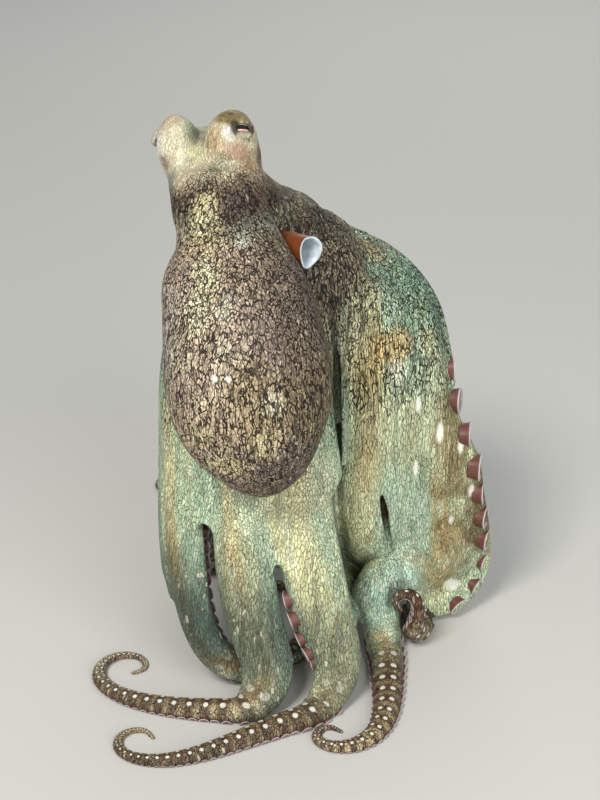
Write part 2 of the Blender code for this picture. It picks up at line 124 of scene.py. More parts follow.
# name: stations (x, y, z, facing of the outer side), core width, margin width and where,
ARMS = {
    "L4": dict(
        path=[(-14, -32, 187, -.3, -.8, 1), (-22, -39, 170, -.3, -1, .5), (-27, -45, 142, -.2, -1, .2),
              (-31, -56, 100, -.15, -1, .1), (-26.5, -68, 78, -.1, -1, 0), (-22.5, -75, 56, -.05, -1, 0),
              (-18, -78, 34, 0, -1, .1), (-15, -82, 14, 0, -.8, .7)]
        + floor_run(-21, -90, 180, 128, -44, -320),
        core=21.0, margin=(4.8, 100, 196)),
    "R4": dict(
        path=[(3.3, -33, 187, .3, -.8, 1), (5, -38, 170, .3, -1, .5), (0, -45, 142, .1, -1, .2),
              (-2, -55, 104, .1, -1, .15), (1, -67, 81, .1, -1, 0), (6.5, -73, 58, .15, -1, 0),
              (12, -74, 35, .2, -1, .1), (16, -77, 14, .2, -.8, .7)]
        + floor_run(8, -92, 205, 125, 30, -330),
        core=21.5, margin=(4.2, 60, 185)),
    "L3": dict(
        path=[(-25, -20, 187, -.8, -.5, 1), (-38, -26, 174, -.8, -.6, .5), (-47, -31, 148, -.8, -.6, .2),
              (-51, -34, 122, -.8, -.6, .1), (-51, -43, 100, -.75, -.7, .1), (-50.5, -53, 80, -.65, -.75, 0),
              (-49.5, -60, 62, -.55, -.8, 0), (-47, -65, 42, -.5, -.85, 0), (-40, -67, 22, -.35, -.9, .3),
              (-28, -63, 9, 0, -.5, .8)]
        + floor_run(-18, -57, 35, 150, 130, 340),
        core=20.5, margin=(2.0, 80, 170)),
    "R3": dict(
        path=[(13.5, -23, 187, .45, -.65, 1), (20, -23.5, 177, .45, -.75, .5), (25.5, -23, 157, .4, -.9, .15),
              (28.6, -24, 128, .3, -.9, .1), (28.6, -25, 100, .2, -1, 0), (28.6, -24, 75, .1, -1, 0),
              (30.5, -17, 52, .1, -1, 0), (31, -2, 34, .05, -.9, .3), (28, 12, 15, 0, -.3, 1),
              (23, 26, 4, 0, 0, 1), (27, 43, 4, 0, 0, 1), (41, 41, 3.8, 0, 0, 1), (48, 24, 3.6, 0, 0, 1),
              (53, 4, 3.2, 0, 0, 1), (56, -13, 3.2, 0, 0, 1), (56, -27, 5.5, .5, -.3, -.4),
              (52.8, -36, 13, .8, -.2, -.6), (53.9, -39, 22, 1, 0, 0), (52.4, -40, 30.2, .8, 0, .6),
              (48.2, -40.6, 33.2, 0, 0, 1), (44.2, -40.6, 30.6, -.9, 0, .5), (44.2, -40.2, 26.0, -.9, 0, -.4),
              (46.6, -40, 23.6, -.2, 0, -1)],
        core=20.5, margin=(2.5, 70, 165), taper=3.9, plump=0.45),
    "R2": dict(
        path=[(18, -5, 183, .65, -.2, 1), (30, -1, 177, .6, -.35, .8), (41, -2, 168, .7, -.5, .4),
              (50, -7, 153, .6, -.7, .2), (54.5, -11, 135, .4, -.8, .05), (57, -13, 117, .2, -.95, 0),
              (59.5, -14, 98, 0, -1, 0), (62, -11, 79, -.1, -.95, 0), (66, -3, 59, -.2, -.9, .1),
              (70, 5, 40, -.3, -.8, .4), (71, 10, 21, -.3, -.7, .6), (66, 5, 14, -.2, -.6, .8),
              (58, -4, 17.5, 0, -.8, .6), (49.5, -10, 23, -.1, -.8, .6),
              (40.5, -16, 20, -.6, -.4, .6), (38, -30, 11, -.3, 0, 1)]
        + floor_run(40, -44, 268, 112, 4, -350),
        core=25.5, margin=(6.0, 85, 216), taper=3.0),
    "R1": dict(path=bell_stations(155, -9, 90) + floor_run(66, 88, 70, 185, 16, 330),
               core=24.0, margin=(3.0, 60, 190)),
    "L1": dict(path=bell_stations(203, -3, 92) + floor_run(-23, 98, 88, 168, -6, -330),
               core=24.0, margin=(3.0, 60, 190)),
    "L2": dict(path=bell_stations(247, -4, 62, radii=(24, 38, 50, 57, 58, 59)) + floor_run(-47, 42, 82, 150, -2, 350),
               core=22.5, margin=(3.0, 60, 190)),
}
RING = ["R4", "R3", "R2", "R1", "L1", "L2", "L3", "L4"]     # round the crown
TIP = 1.6


class Arm:
    """Core line, frame and section of one arm, looked up by length s from the crown."""

    def __init__(self, name):
        spec = ARMS[name]
        q, self.s = natural_spline(spec["path"])
        self.length = self.s[-1]
        sigma = self.s / self.length
        slim = 0.76 + 0.24 * np.clip(self.s / 45, 0, 1)      # the arms crowd where they meet
        self.core = spec["core"] * (1 - sigma ** spec.get("taper", 2.0)) * (1 - 0.25 * sigma) * slim + TIP
        self.core *= 1 + spec.get("plump", 0.0) * smooth(self.s, self.length - 80, self.length - 45)
        size, start, end = spec["margin"]
        bump = np.clip((self.s - start) / 40, 0, 1) * np.clip((end + 25 - self.s) / 50, 0, 1)
        self.bump = bump * bump * (3 - 2 * bump)
        self.width = self.core + 2 * size * self.bump
        self.thick = 0.80 * self.core
        self.point = q[:, :3].copy()
        # where an arm lies on the floor, its suckers are pressed flat against it
        self.point[:, 2] = np.maximum(self.point[:, 2], 0.345 * self.thick)
        self.tangent = unit(np.gradient(self.point, axis=0))
        face = q[:, 3:6]
        face = face - (face * self.tangent).sum(1, keepdims=True) * self.tangent
        self.normal = unit(face)
        self.side = np.cross(self.normal, self.tangent)

    def at(self, s):
        def pick(values):
            return np.array([np.interp(s, self.s, values[:, c]) for c in range(3)])
        return (pick(self.point), unit(pick(self.side)), unit(pick(self.normal)),
                float(np.interp(s, self.s, self.width)), float(np.interp(s, self.s, self.thick)),
                float(np.interp(s, self.s, self.bump)))

    def ring(self, s, count):
        """One section: rounded outside, flatter on the sucker side, thinner at its margins."""
        point, side, normal, width, thick, bump = self.at(s)
        rows, half = [], 0.5 if count % 4 == 0 else 0.0     # a flat, not an edge, faces the floor
        for j in range(count):
            phi = 2 * math.pi * (j + half) / count
            c, v = math.cos(phi), math.sin(phi)
            high = abs(v) ** (1 + 0.7 * bump) * (1 if v > 0 else -0.78)
            rows.append(point + side * (width / 2 * c) + normal * (thick / 2 * high))
        rows = np.array(rows)
        rows[:, 2] = np.maximum(rows[:, 2], 0.0)
        return rows

    def stops(self, start, end, stride, swing):
        """Places of the rings between two lengths, closer together where the arm curls."""
        inside = (self.s >= start) & (self.s <= end)
        s = np.r_[start, self.s[inside], end]
        t = np.array([np.interp(s, self.s, self.tangent[:, c]) for c in range(3)]).T
        turn = np.r_[0, np.linalg.norm(np.diff(t, axis=0), axis=1)]
        cost = np.cumsum(np.r_[0, np.diff(s)] / stride + turn / math.radians(swing))
        count = max(2, int(round(cost[-1])))
        return np.interp(np.linspace(0, cost[-1], count + 1), cost, s)


# ------------------------------------------------------------------ web

WEB = {  # between two arms: how far down each arm it reaches, and the height of its scallop
    ("R4", "R3"): (100, 92, 0.05), ("R3", "R2"): (150, 168, 0.0), ("R2", "R1"): (78, 122, 0.24),
    ("R1", "L1"): (184, 184, 0.22), ("L1", "L2"): (184, 184, 0.22), ("L2", "L3"): (172, 156, 0.20),
    ("L3", "L4"): (126, 113, 0.03), ("L4", "R4"): (135, 127, 0.03),
}
WEB_START, WEB_THICK, WEB_LIFT = 19.0, 2.4, 0.20
WEB_FULL = {("R3", "R2"): dict(lift=0.34, sag=0.20)}          # stretched tight over the arms
WEB_FREE = {("R3", "R2"): 108.0}     # past this length the sheet hangs free of the first arm


def web_sheet(first, second, reach_a, reach_b, scallop, across, down, gap, start=WEB_START, free=None,
              lift=WEB_LIFT, sag=0.10):
    """A sheet between the facing margins of two arms; it sags outwards a little."""
    outer, inner = [], []
    for k in range(down + 1):
        v = k / down
        for j in range(across + 1):
            u = j / across
            cut = 1 - scallop * 4 * u * (1 - u)
            pa, sa, na, wa, ta, _ = first.at(start + (reach_a - start) * v * cut)
            pb, sb, nb, wb, tb, _ = second.at(start + (reach_b - start) * v * cut)
            past = start + (reach_a - start) * v * cut - (free or 1e9)
            slit = 0.0 if past < 0 else min(past / 3, 1) * (1.0 + 2.2 * math.exp(-((past - 8) / 7) ** 2))
            left, right = pa + sa * (wa / 2), pb - sb * (wb / 2)
            normal = unit(np.cross(np.cross(sa, na) + np.cross(sb, nb), right - left))
            left = left + sa * (gap + slit + WEB_THICK / 2 * abs(normal @ sa)) + na * (lift * ta)
            right = right - sb * (gap + WEB_THICK / 2 * abs(normal @ sb)) + nb * (lift * tb)
            span = np.linalg.norm(right - left)
            point = left * (1 - u) + right * u + normal * (sag * span * 4 * u * (1 - u))
            outer.append(point + normal * WEB_THICK / 2)
            inner.append(point - normal * WEB_THICK / 2)
    return outer, inner


# ------------------------------------------------------------------ mantle, head, crown

# centre line of the mantle with its half width and half depth, from neck to tip
MANTLE = [(-33, -50, 231, 16.0, 13.0), (-32, -56, 221, 18.2, 16.0), (-29.5, -62, 210, 22.0, 20.0),
          (-28, -68, 199, 27.8, 24.5), (-25.5, -74, 187, 31.0, 27.5), (-22, -81, 170, 33.6, 29.5),
          (-20.3, -86, 154, 33.6, 29.0), (-18.6, -88.5, 139, 29.8, 25.5), (-16.8, -88.5, 127, 23.0, 19.5),
          (-16.0, -87.5, 117.5, 15.0, 13.0), (-15.8, -86.5, 111.0, 6.5, 6.0)]
# trunk of the head, from the neck over to the crown: centre, half width, half depth
HEAD = [(-33, -54, 224, 14.8, 12.5), (-35, -46, 231, 15.4, 12.0), (-34, -38, 229, 16.6, 13.0),
        (-28, -31, 218, 18.0, 15.5), (-18, -24, 204, 21.0, 19.0), (-8, -17, 190, 24.0, 23.0)]
# rounded lobes that rise from it: centre, radii, tilt towards +X in degrees
LOBES = {
    "right_turret": ((-28.0, -43.5, 247.0), (10.6, 11.5, 13.0), 8),
    "left_turret": ((-49.6, -36, 242.4), (8.8, 11.0, 13.2), -8),
    "left_cheek": ((-44.0, -39, 230.0), (8.4, 10.5, 12.5), 14),
    "right_cheek": ((-24.5, -42, 236.5), (8.6, 9.5, 10.5), 0),
    "brow": ((-38.5, -29, 234.0), (14.5, 12.0, 14.5), 0),
}
EYES = {  # centre and radius of the ball; the lens looks along `look`, the pupil's bar lies along `slit`
    "R": dict(centre=(-25.4, -47.4, 251.1), radius=6.2, look=(0.42, -0.62, 0.66), slit=(1.0, 0.35, -0.1)),
    "L": dict(centre=(-53.0, -34.2, 243.9), radius=6.2, look=(-0.72, 0.60, 0.36), slit=(0.5, 0.86, 0.0)),
}
# funnel: centre, outer radius; it opens at the last station
SIPHON = [(-16, -36, 205.5, 3.6), (-9.5, -43, 205.2, 4.6), (-2.7, -51, 205.0, 5.5), (4.2, -58.5, 204.9, 6.3)]
SIPHON_WALL, SIPHON_DEPTH = 1.3, 15.0


def swept_ovals(stations, rings, count, across=(1.0, 0.0, 0.0)):
    """Sections square to a centre line, with a half width along `across` and a half depth."""
    q, length = natural_spline(stations)
    tangent = unit(np.gradient(q[:, :3], axis=0))
    out = []
    for s in rings * length[-1]:
        row = np.array([np.interp(s, length, q[:, c]) for c in range(5)])
        t = unit(np.array([np.interp(s, length, tangent[:, c]) for c in range(3)]))
        side = unit(np.array(across) - t * np.dot(across, t))
        normal = np.cross(t, side)
        phi = 2 * np.pi * np.arange(count) / count
        out.append(row[:3] + np.outer(np.cos(phi) * row[3], side) + np.outer(np.sin(phi) * row[4], normal))
    return out



def ellipsoid(centre, radii, tilt, around=40, down=28):
    """Points and triangles of an ellipsoid, tilted towards +X."""
    rings = []
    for k in range(1, down):
        theta = math.pi * k / down
        rings.append([(radii[0] * math.sin(theta) * math.cos(2 * math.pi * j / around),
                       radii[1] * math.sin(theta) * math.sin(2 * math.pi * j / around),
                       -radii[2] * math.cos(theta)) for j in range(around)])
    verts = np.array([(0, 0, -radii[2])] + [p for ring in rings for p in ring] + [(0, 0, radii[2])], float)
    faces = []
    last = 1 + (down - 2) * around
    for j in range(around):
        n = (j + 1) % around
        faces += [(0, 1 + n, 1 + j), (len(verts) - 1, last + j, last + n)]
        for k in range(down - 2):
            a, b = 1 + k * around, 1 + (k + 1) * around
            faces += [(a + j, a + n, b + n), (a + j, b + n, b + j)]
    a = math.radians(tilt)
    x = verts[:, 0] * math.cos(a) + verts[:, 2] * math.sin(a)
    z = -verts[:, 0] * math.sin(a) + verts[:, 2] * math.cos(a)
    return np.stack([x, verts[:, 1], z], 1) + np.array(centre), np.array(faces)


def tube(rings):
    """Points and triangles of a closed skin through rings, with a fan over each end."""
    count = len(rings[0])
    verts = np.concatenate(list(rings) + [np.mean(rings[0], 0)[None], np.mean(rings[-1], 0)[None]])
    faces = []
    for k in range(len(rings) - 1):
        for j in range(count):
            a, b = k * count + j, k * count + (j + 1) % count
            faces += [(a, b, b + count), (a, b + count, a + count)]
    first, last, top = len(verts) - 2, len(verts) - 1, (len(rings) - 1) * count
    for j in range(count):
        n = (j + 1) % count
        faces += [(first, n, j), (last, top + j, top + n)]
    return verts, np.array(faces)


def sheet_skin(outer, inner, across, down):
    n = (across + 1) * (down + 1)
    faces = []

    def at(k, j):
        return k * (across + 1) + j

    for k in range(down):
        for j in range(across):
            a, b, c, d = at(k, j), at(k, j + 1), at(k + 1, j + 1), at(k + 1, j)
            faces += [(a, d, c), (a, c, b), (a + n, b + n, c + n), (a + n, c + n, d + n)]
    rim = ([at(0, j) for j in range(across)] + [at(k, across) for k in range(down)]
           + [at(down, j) for j in range(across, 0, -1)] + [at(k, 0) for k in range(down, 0, -1)])
    for a, b in zip(rim, rim[1:] + rim[:1]):
        faces += [(a, b, b + n), (a, b + n, a + n)]
    return np.array(outer + inner), np.array(faces)


# ------------------------------------------------------------------ the grid of distances

LOW = np.array([-100.0, -135.0, -4.0])       # corners of the grid, animal frame
HIGH = np.array([104.0, 222.0, 272.0])
SIZE = np.ceil((HIGH - LOW) / VOXEL).astype(int)
START = np.floor(LOW / VOXEL).astype(int)


class Field:
    """Distance to the skin at every point of the grid; shapes are added with a rounded join."""

    def __init__(self):
        self.d = np.full(SIZE, BAND, np.float32)

    def window(self, verts):
        low = np.floor(verts.min(0) / VOXEL - BAND - 1).astype(int) - START
        high = np.ceil(verts.max(0) / VOXEL + BAND + 2).astype(int) - START
        return np.clip(low, 0, SIZE), np.clip(high, 0, SIZE)

    def distances(self, verts, faces):
        low, high = self.window(verts)
        grid = openvdb.FloatGrid.createLevelSetFromPolygons(
            np.ascontiguousarray(verts, np.float32), triangles=np.ascontiguousarray(faces, np.uint32),
            transform=openvdb.createLinearTransform(VOXEL), halfWidth=BAND / VOXEL)
        out = np.zeros(tuple(high - low), np.float32)
        grid.copyToArray(out, ijk=tuple(int(v) for v in low + START))
        return out, tuple(slice(a, b) for a, b in zip(low, high))

    def heights(self, where):
        return ((np.arange(where[2].start, where[2].stop) + START[2]) * VOXEL)[None, None, :]

    def add(self, verts, faces, join):
        """join is the width of the rounded seam in mm: a number or a function of height."""
        new, where = self.distances(verts, faces)
        old = self.d[where]
        k = join(self.heights(where)) if callable(join) else join
        h = np.maximum(k - np.abs(old - new), 0.0) / k
        self.d[where] = np.minimum(old, new) - h * h * k * 0.25

    def carve(self, verts, faces, join):
        new, where = self.distances(verts, faces)
        old, new = self.d[where], -new
        h = np.maximum(join - np.abs(old - new), 0.0) / join
        self.d[where] = np.maximum(old, new) + h * h * join * 0.25

    def surface(self):
        """Points and quads of the skin, flat on the floor."""
        height = (np.arange(SIZE[2]) + START[2]) * VOXEL
        self.d = np.maximum(self.d, -height[None, None, :].astype(np.float32))
        grid = openvdb.FloatGrid(BAND)
        grid.copyFromArray(np.clip(self.d, -BAND, BAND), ijk=tuple(int(v) for v in START))
        grid.transform = openvdb.createLinearTransform(VOXEL)
        grid.gridClass = openvdb.GridClass.LEVEL_SET
        points, quads = grid.convertToQuads(0.0)
        return np.asarray(points, float), np.asarray(quads, int)


    def sample(self, points):
        """Distance to the skin at any points, between the grid's own."""
        q = np.asarray(points) / VOXEL - START
        i = np.clip(np.floor(q).astype(int), 0, np.array(self.d.shape) - 2)
        f = np.clip(q - i, 0, 1)
        out = 0.0
        for dx in (0, 1):
            for dy in (0, 1):
                for dz in (0, 1):
                    w = ((f[:, 0] if dx else 1 - f[:, 0]) * (f[:, 1] if dy else 1 - f[:, 1])
                         * (f[:, 2] if dz else 1 - f[:, 2]))
                    out = out + w * self.d[i[:, 0] + dx, i[:, 1] + dy, i[:, 2] + dz]
        return out


def hoop(rings):
    """Points and triangles of a tube closed on itself."""
    count = len(rings[0])
    faces = []
    for k in range(len(rings)):
        for j in range(count):
            a, b = k * count + j, k * count + (j + 1) % count
            c, d = ((k + 1) % len(rings)) * count + j, ((k + 1) % len(rings)) * count + (j + 1) % count
            faces += [(a, b, d), (a, d, c)]
    return np.concatenate(rings), np.array(faces)


def eye_axes(eye):
    look = unit(np.array(eye["look"], float))
    along = unit(np.array(eye["slit"], float) - look * np.dot(eye["slit"], look))
    return along, np.cross(look, along), look


def eye_socket(head, eye):
    """Opening for the ball, with a fold of skin round it."""
    along, up, look = eye_axes(eye)
    centre, r = np.array(eye["centre"]), eye["radius"]
    verts, faces = ellipsoid((0, 0, 0), (4.3, 3.7, 4.6), 0)
    head.carve(verts[:, :1] * along + verts[:, 1:2] * up + verts[:, 2:] * look + centre + look * (r + 0.4), faces, 1.4)
    rings = []
    for k in range(48):
        a = 2 * math.pi * k / 48
        out = unit(look + along * (0.70 * math.cos(a)) + up * (0.60 * math.sin(a)))
        ahead = unit(-along * (0.70 * math.sin(a)) + up * (0.60 * math.cos(a)))
        side = unit(np.cross(ahead, out))
        fat = 1.15 + 0.35 * max(0.0, math.sin(a)) ** 2
        phi = 2 * np.pi * np.arange(12) / 12
        rings.append(centre + out * (r + 0.45 + 0.25 * max(0.0, math.sin(a)))
                     + fat * (np.outer(np.cos(phi), side) + np.outer(np.sin(phi), out)))
    head.add(*hoop(rings), 1.6)
    head.carve(*ellipsoid(eye["centre"], (r + 0.12,) * 3, 0), 0.5)


# where the wide margin of the right arm rolls outwards, and the slit and the furrow beside it
ROLL = (84.0, 222.0)
BRIDGE = [(28.5, -24.5, 88, 11.5, 6.5), (30, -25.0, 70, 11.8, 6.5), (33, -22.0, 56, 11.2, 6.5),
          (36.5, -15.5, 43, 10.0, 6.5), (40, -9, 30, 8.0, 5.5)]
SWEEP = [(75, 1, 28, 8.0, 5.5), (64, -8, 34, 12.0, 7.5), (56, -13.5, 36, 10.0, 6.5)]
KNUCKLE = [(62, -9, 34.5, 7.5, 4.5), (54, -15.5, 36.5, 12.5, 8.4), (44, -21.5, 33, 14.0, 10.0),
           (35.5, -25, 22, 11.8, 9.5), (31, -23, 12, 7.5, 7.0)]
VALLEY = [(47, -20, 122, 6.0, 4.0), (48, -20, 100, 10.5, 5.5), (48.5, -18.5, 80, 12, 6.0), (49.5, -16, 60, 12, 6.0),
          (51, -12.5, 42, 12, 6.0), (53, -7, 28, 10, 6.0)]
SLIT = [(36.6, -28.5, 79, 0.4, 3.0), (37.4, -28.0, 74, 1.2, 4.2), (38.3, -27.7, 68, 1.4, 4.4),
        (39.3, -27.2, 61, 1.0, 3.4), (40.6, -26.4, 54, 0.8, 2.6), (42.0, -25.4, 47, 0.4, 1.8)]
FURROW = [(14.5, -43.5, 176, 0.8, 1.5), (15.7, -43.0, 166, 1.7, 3.4), (17.4, -42.6, 137, 1.9, 3.6),
          (19.2, -46.3, 107, 1.8, 3.4), (19.6, -49.0, 98, 0.8, 1.5)]


def build_skin():
    arms = {name: Arm(name) for name in ARMS}
    field = Field()
    seam = lambda z: 1.6 + 8.0 * smooth(z, 120, 178)
    for name in RING:
        arm = arms[name]
        stride = 3.0
        field.add(*tube([arm.ring(s, 36) for s in arm.stops(0.0, arm.length, stride, 8.0)]), seam)
    for (a, b), (ra, rb, scallop) in WEB.items():
        if (a, b) == ("R3", "R2"):
            rb = 198
        outer, inner = web_sheet(arms[a], arms[b], ra, rb, scallop, 12, 44, -2.5, **WEB_FULL.get((a, b), {}))
        field.add(*sheet_skin(outer, inner, 12, 44), lambda z: 4.0 + 4.0 * smooth(z, 120, 178))
    # a fold set back between two arms keeps their gap dark
    outer, inner = web_sheet(arms["R4"], arms["R3"], 184, 182, 0.0, 12, 34, -2.0, start=80.0, lift=-0.34, sag=-0.06)
    field.add(*sheet_skin(outer, inner, 12, 34), 2.0)
    field.add(*tube(swept_ovals(BRIDGE, np.linspace(0, 1, 24), 40)), 6.0)
    field.add(*ellipsoid((53, -9, 35), (17, 8, 14), -12), 6.0)
    arm = arms["R2"]
    rings = []
    for s in np.linspace(*ROLL, 60):
        point, side, normal, width, thick, _ = arm.at(s)
        grow = float(smooth(s, ROLL[0] - 6, ROLL[0] + 34) * (1 - smooth(s, ROLL[1] - 36, ROLL[1] + 4)))
        phi = 2 * np.pi * np.arange(20) / 20
        middle = point + side * (width / 2 - 3.4 + 2.4 * grow) - normal * (0.06 * thick)
        rings.append(middle + np.outer(np.cos(phi) * (1.2 + 3.2 * grow), side)
                     + np.outer(np.sin(phi) * (1.0 + 1.5 * grow), normal))
    field.add(*tube(rings), 3.5)
    # the hollow between the core of that arm and its roll is filled with web
    rings = []
    for s in np.linspace(ROLL[0], ROLL[1], 50):
        point, side, normal, width, thick, _ = arm.at(s)
        grow = float(smooth(s, ROLL[0], ROLL[0] + 40) * (1 - smooth(s, ROLL[1] - 40, ROLL[1])))
        phi = 2 * np.pi * np.arange(24) / 24
        rings.append(point + side * (width / 2 - 8.0) + np.outer(np.cos(phi) * (2.0 + 7.0 * grow), side)
                     + np.outer(np.sin(phi) * (1.0 + 3.6 * grow), normal))
    field.add(*tube(rings), 5.0)
    field.add(*tube(swept_ovals(VALLEY, np.linspace(0, 1, 30), 40)), 7.0)
    field.add(*tube(swept_ovals(SWEEP, np.linspace(0, 1, 30), 40, across=(0.0, 0.0, 1.0))), 9.0)
    field.add(*tube(swept_ovals(KNUCKLE, np.linspace(0, 1, 30), 40, across=(0.0, 0.0, 1.0))), 1.4)
    field.add(*ellipsoid(CROWN, (26.0, 24.5, 25.0), 12), 12.0)
    head = Field()
    head.add(*tube(swept_ovals(HEAD, np.linspace(0, 0.86, 30), 44)), 1.0)
    for name in ("brow", "left_cheek", "right_cheek"):
        head.add(*ellipsoid(*LOBES[name]), 7.0)
    for name in ("left_turret", "right_turret"):
        head.add(*ellipsoid(*LOBES[name]), 4.2)
    for side in ("R", "L"):
        eye_socket(head, EYES[side])
    k = 12.0
    h = np.maximum(k - np.abs(field.d - head.d), 0.0) / k
    field.d = np.minimum(field.d, head.d) - h * h * k * 0.25
    field.add(*tube(swept_ovals(MANTLE, 1 - (1 - np.linspace(0, 1, 60)) ** 1.15, 60)),
              lambda z: 1.5 + 9.0 * smooth(z, 196, 226))
    field.carve(*tube(swept_ovals(SLIT, np.linspace(0, 1, 24), 24)), 0.8)
    field.carve(*tube(swept_ovals(FURROW, np.linspace(0, 1, 30), 24)), 3.0)
    points, quads = field.surface()
    return arms, field, points, quads[:, ::-1]


# ------------------------------------------------------------------ where each point of the skin belongs


def noise(points, size, seed=0):
    """Smooth noise between -1 and 1; size is the wavelength in mm."""
    p = np.asarray(points, float) / size + seed * 17.31
    i = np.floor(p).astype(np.int64)
    f = p - i
    f = f * f * (3 - 2 * f)
    out = 0.0
    for dx in (0, 1):
        for dy in (0, 1):
            for dz in (0, 1):
                n = (i[:, 0] + dx) * 374761393 + (i[:, 1] + dy) * 668265263 + (i[:, 2] + dz) * 2147483647 + seed * 977
                n = (n ^ (n >> 13)) * 1274126177 & 0x7FFFFFFF
                n = (n ^ (n >> 16)) & 0xFFFF
                w = ((f[:, 0] if dx else 1 - f[:, 0]) * (f[:, 1] if dy else 1 - f[:, 1])
                     * (f[:, 2] if dz else 1 - f[:, 2]))
                out = out + w * (n / 32767.5 - 1)
    return out


def nearest_on(line, points, stride=6):
    """Index of the closest sample of a line for each point, and the distance."""
    coarse = line[::stride]
    best = np.empty(len(points), int)
    for i in range(0, len(points), 40000):
        block = points[i:i + 40000]
        d = (block ** 2).sum(1)[:, None] - 2 * block @ coarse.T + (coarse ** 2).sum(1)[None]
        best[i:i + 40000] = d.argmin(1) * stride
    offsets = np.arange(-stride, stride + 1)
    index = np.clip(best[:, None] + offsets[None], 0, len(line) - 1)
    d = np.linalg.norm(points[:, None, :] - line[index], axis=2)
    pick = d.argmin(1)
    rows = np.arange(len(points))
    return index[rows, pick], d[rows, pick]


CELL = 1.55            # size of a small cell of the net in its own space
LEVEL, UPRIGHT = 1.42, (0.42, 0.66)     # that space is finer across than upright: on the arms, on the mantle and above


def net_space(points, mantle):
    """The net's own space and how much each axis is stretched there."""
    z = points[:, 2]
    steps = np.linspace(-20, 300, 1601)
    low, high = UPRIGHT
    slope = low + (high - low) * smooth(steps, 112, 176)
    grown = np.cumsum(slope) * (steps[1] - steps[0])
    grown += high * 220 - np.interp(220, steps, grown)
    tall = mix(np.interp(z, steps, grown), high * z, mantle)
    stretch = mix(np.interp(z, steps, slope), high, mantle)
    wide = np.full(len(z), LEVEL)
    return np.stack([points[:, 0] * LEVEL, points[:, 1] * LEVEL, tall], 1), np.stack([wide, wide, stretch], 1)


# patterns that run along the arms: wavelengths across, outwards and along, in mm
ALONG = {"streak": (5.5, 9, 42), "broad": (21, 24, 80), "warm": (13, 20, 60), "ridge": (9.0, 12, 62),
         "crinkle": (3.4, 6, 24)}


def arm_places(arms, points):
    """For every point: nearest arm, its length there, offset across it, and the patterns
    that run along the arms; between two arms the patterns of both are added."""
    best = np.full(len(points), 1e9)
    keys = ("s", "lateral", "width", "count")
    out = {key: np.zeros(len(points)) for key in keys}
    which = np.zeros(len(points), int)
    power = np.full(len(points), 1e-9)
    total = {key: np.zeros(len(points)) for key in ALONG}
    for number, name in enumerate(RING):
        arm = arms[name]
        k, d = nearest_on(arm.point, points)
        v = points - arm.point[k]
        lateral = (v * arm.side[k]).sum(1)
        outward = (v * arm.normal[k]).sum(1)
        s = arm.s[k] + (v * arm.tangent[k]).sum(1)
        reach = d / (0.5 * arm.width[k] + 2.0)      # in widths, so a wide arm owns its own margin
        near = np.where(reach < 3.2)[0]
        weight = np.exp(-(reach[near] * 1.35) ** 2)
        local = np.stack([lateral[near], outward[near], s[near]], 1)
        for seed, (key, sizes) in enumerate(ALONG.items()):
            total[key][near] += weight * noise(local / np.array(sizes, float), 1.0, 4 + seed + 9 * number)
        power[near] += weight ** 2
        spots = np.interp(s, arm.s, np.r_[0, np.cumsum(np.diff(arm.s) / (0.66 * arm.width[1:]))])
        closer = reach < best
        best = np.where(closer, reach, best)
        which = np.where(closer, number, which)
        for key, value in (("s", s), ("lateral", lateral), ("width", arm.width[k]), ("count", spots)):
            out[key] = np.where(closer, value, out[key])
    for key in ALONG:
        out[key] = total[key] / np.sqrt(power)
    out["which"] = which
    return out


# ------------------------------------------------------------------ colours of the skin


def srgb(r, g, b):
    """Linear values of an 8-bit screen colour."""
    c = np.array([r, g, b], float) / 255
    return np.where(c <= 0.04045, c / 12.92, ((c + 0.055) / 1.055) ** 2.4)


CREAM, IVORY = srgb(212, 208, 160), srgb(236, 228, 200)
PINK = srgb(202, 162, 142)
MAUVE, TAN, UMBER = srgb(178, 158, 138), srgb(190, 168, 130), srgb(116, 100, 82)
# the last of these is the dark teal of the painted shade near the floor
MINT, TEAL, FLOOR_SHADE_TEAL = srgb(186, 206, 174), srgb(124, 154, 134), srgb(50, 72, 70)
GOLD, MAROON, OLIVE = srgb(186, 152, 92), srgb(24, 12, 10), srgb(54, 40, 24)
WHITE, BROWN = srgb(246, 243, 228), srgb(98, 66, 48)

# patches of colour: (colour, centre, radii, strength), in the animal's frame
HEAD_PATCHES = [
    (srgb(236, 226, 196), (-50, -40, 244), (12, 14, 13), 0.8),
    (srgb(196, 134, 84), (-52, -35, 252.5), (5.5, 6, 4), 0.75),
    (srgb(150, 168, 136), (-44.5, -38, 250), (4.5, 8, 6), 0.75),
    (srgb(243, 238, 222), (-58, -40, 243), (4, 8, 9), 0.8),
    (srgb(232, 226, 182), (-41.8, -46.5, 244), (4.5, 7, 10), 0.85),
    (srgb(142, 162, 142), (-39.5, -33, 250.5), (5, 9, 4), 0.5),
    (srgb(228, 196, 150), (-33, -50, 250), (6, 7, 7), 0.75),
    (srgb(246, 240, 224), (-28.4, -52.6, 253.2), (4.0, 4, 4.2), 0.8),
    (srgb(206, 164, 140), (-25.5, -54.5, 246.5), (7, 5, 4.5), 0.85),
    (srgb(232, 206, 172), (-29.5, -55, 247.0), (3.5, 4, 3), 0.6),
    (srgb(172, 170, 138), (-31.5, -56.8, 241.8), (5.4, 5, 5.4), 0.8),
    (srgb(166, 124, 80), (-21.0, -54.5, 240.5), (4.0, 5, 5.5), 0.5),
    (srgb(74, 58, 44), (-15.5, -47, 242), (3.5, 8, 8), 0.7),
    (srgb(152, 122, 110), (-56, -45, 238.0), (3.5, 5, 4.0), 0.7),
    (srgb(118, 148, 138), (-52, -50, 231.5), (6, 6, 5.5), 0.75),
    (srgb(240, 226, 176), (-37.5, -72, 222), (7.0, 14, 17), 0.9),
    (srgb(104, 88, 82), (-22.5, -70, 226), (9.5, 15, 14), 0.9),
    (srgb(198, 168, 132), (-31, -62, 234), (7, 6, 5), 0.4),
    (srgb(112, 100, 84), (-4, -33, 217), (21, 18, 17), 0.95),
]
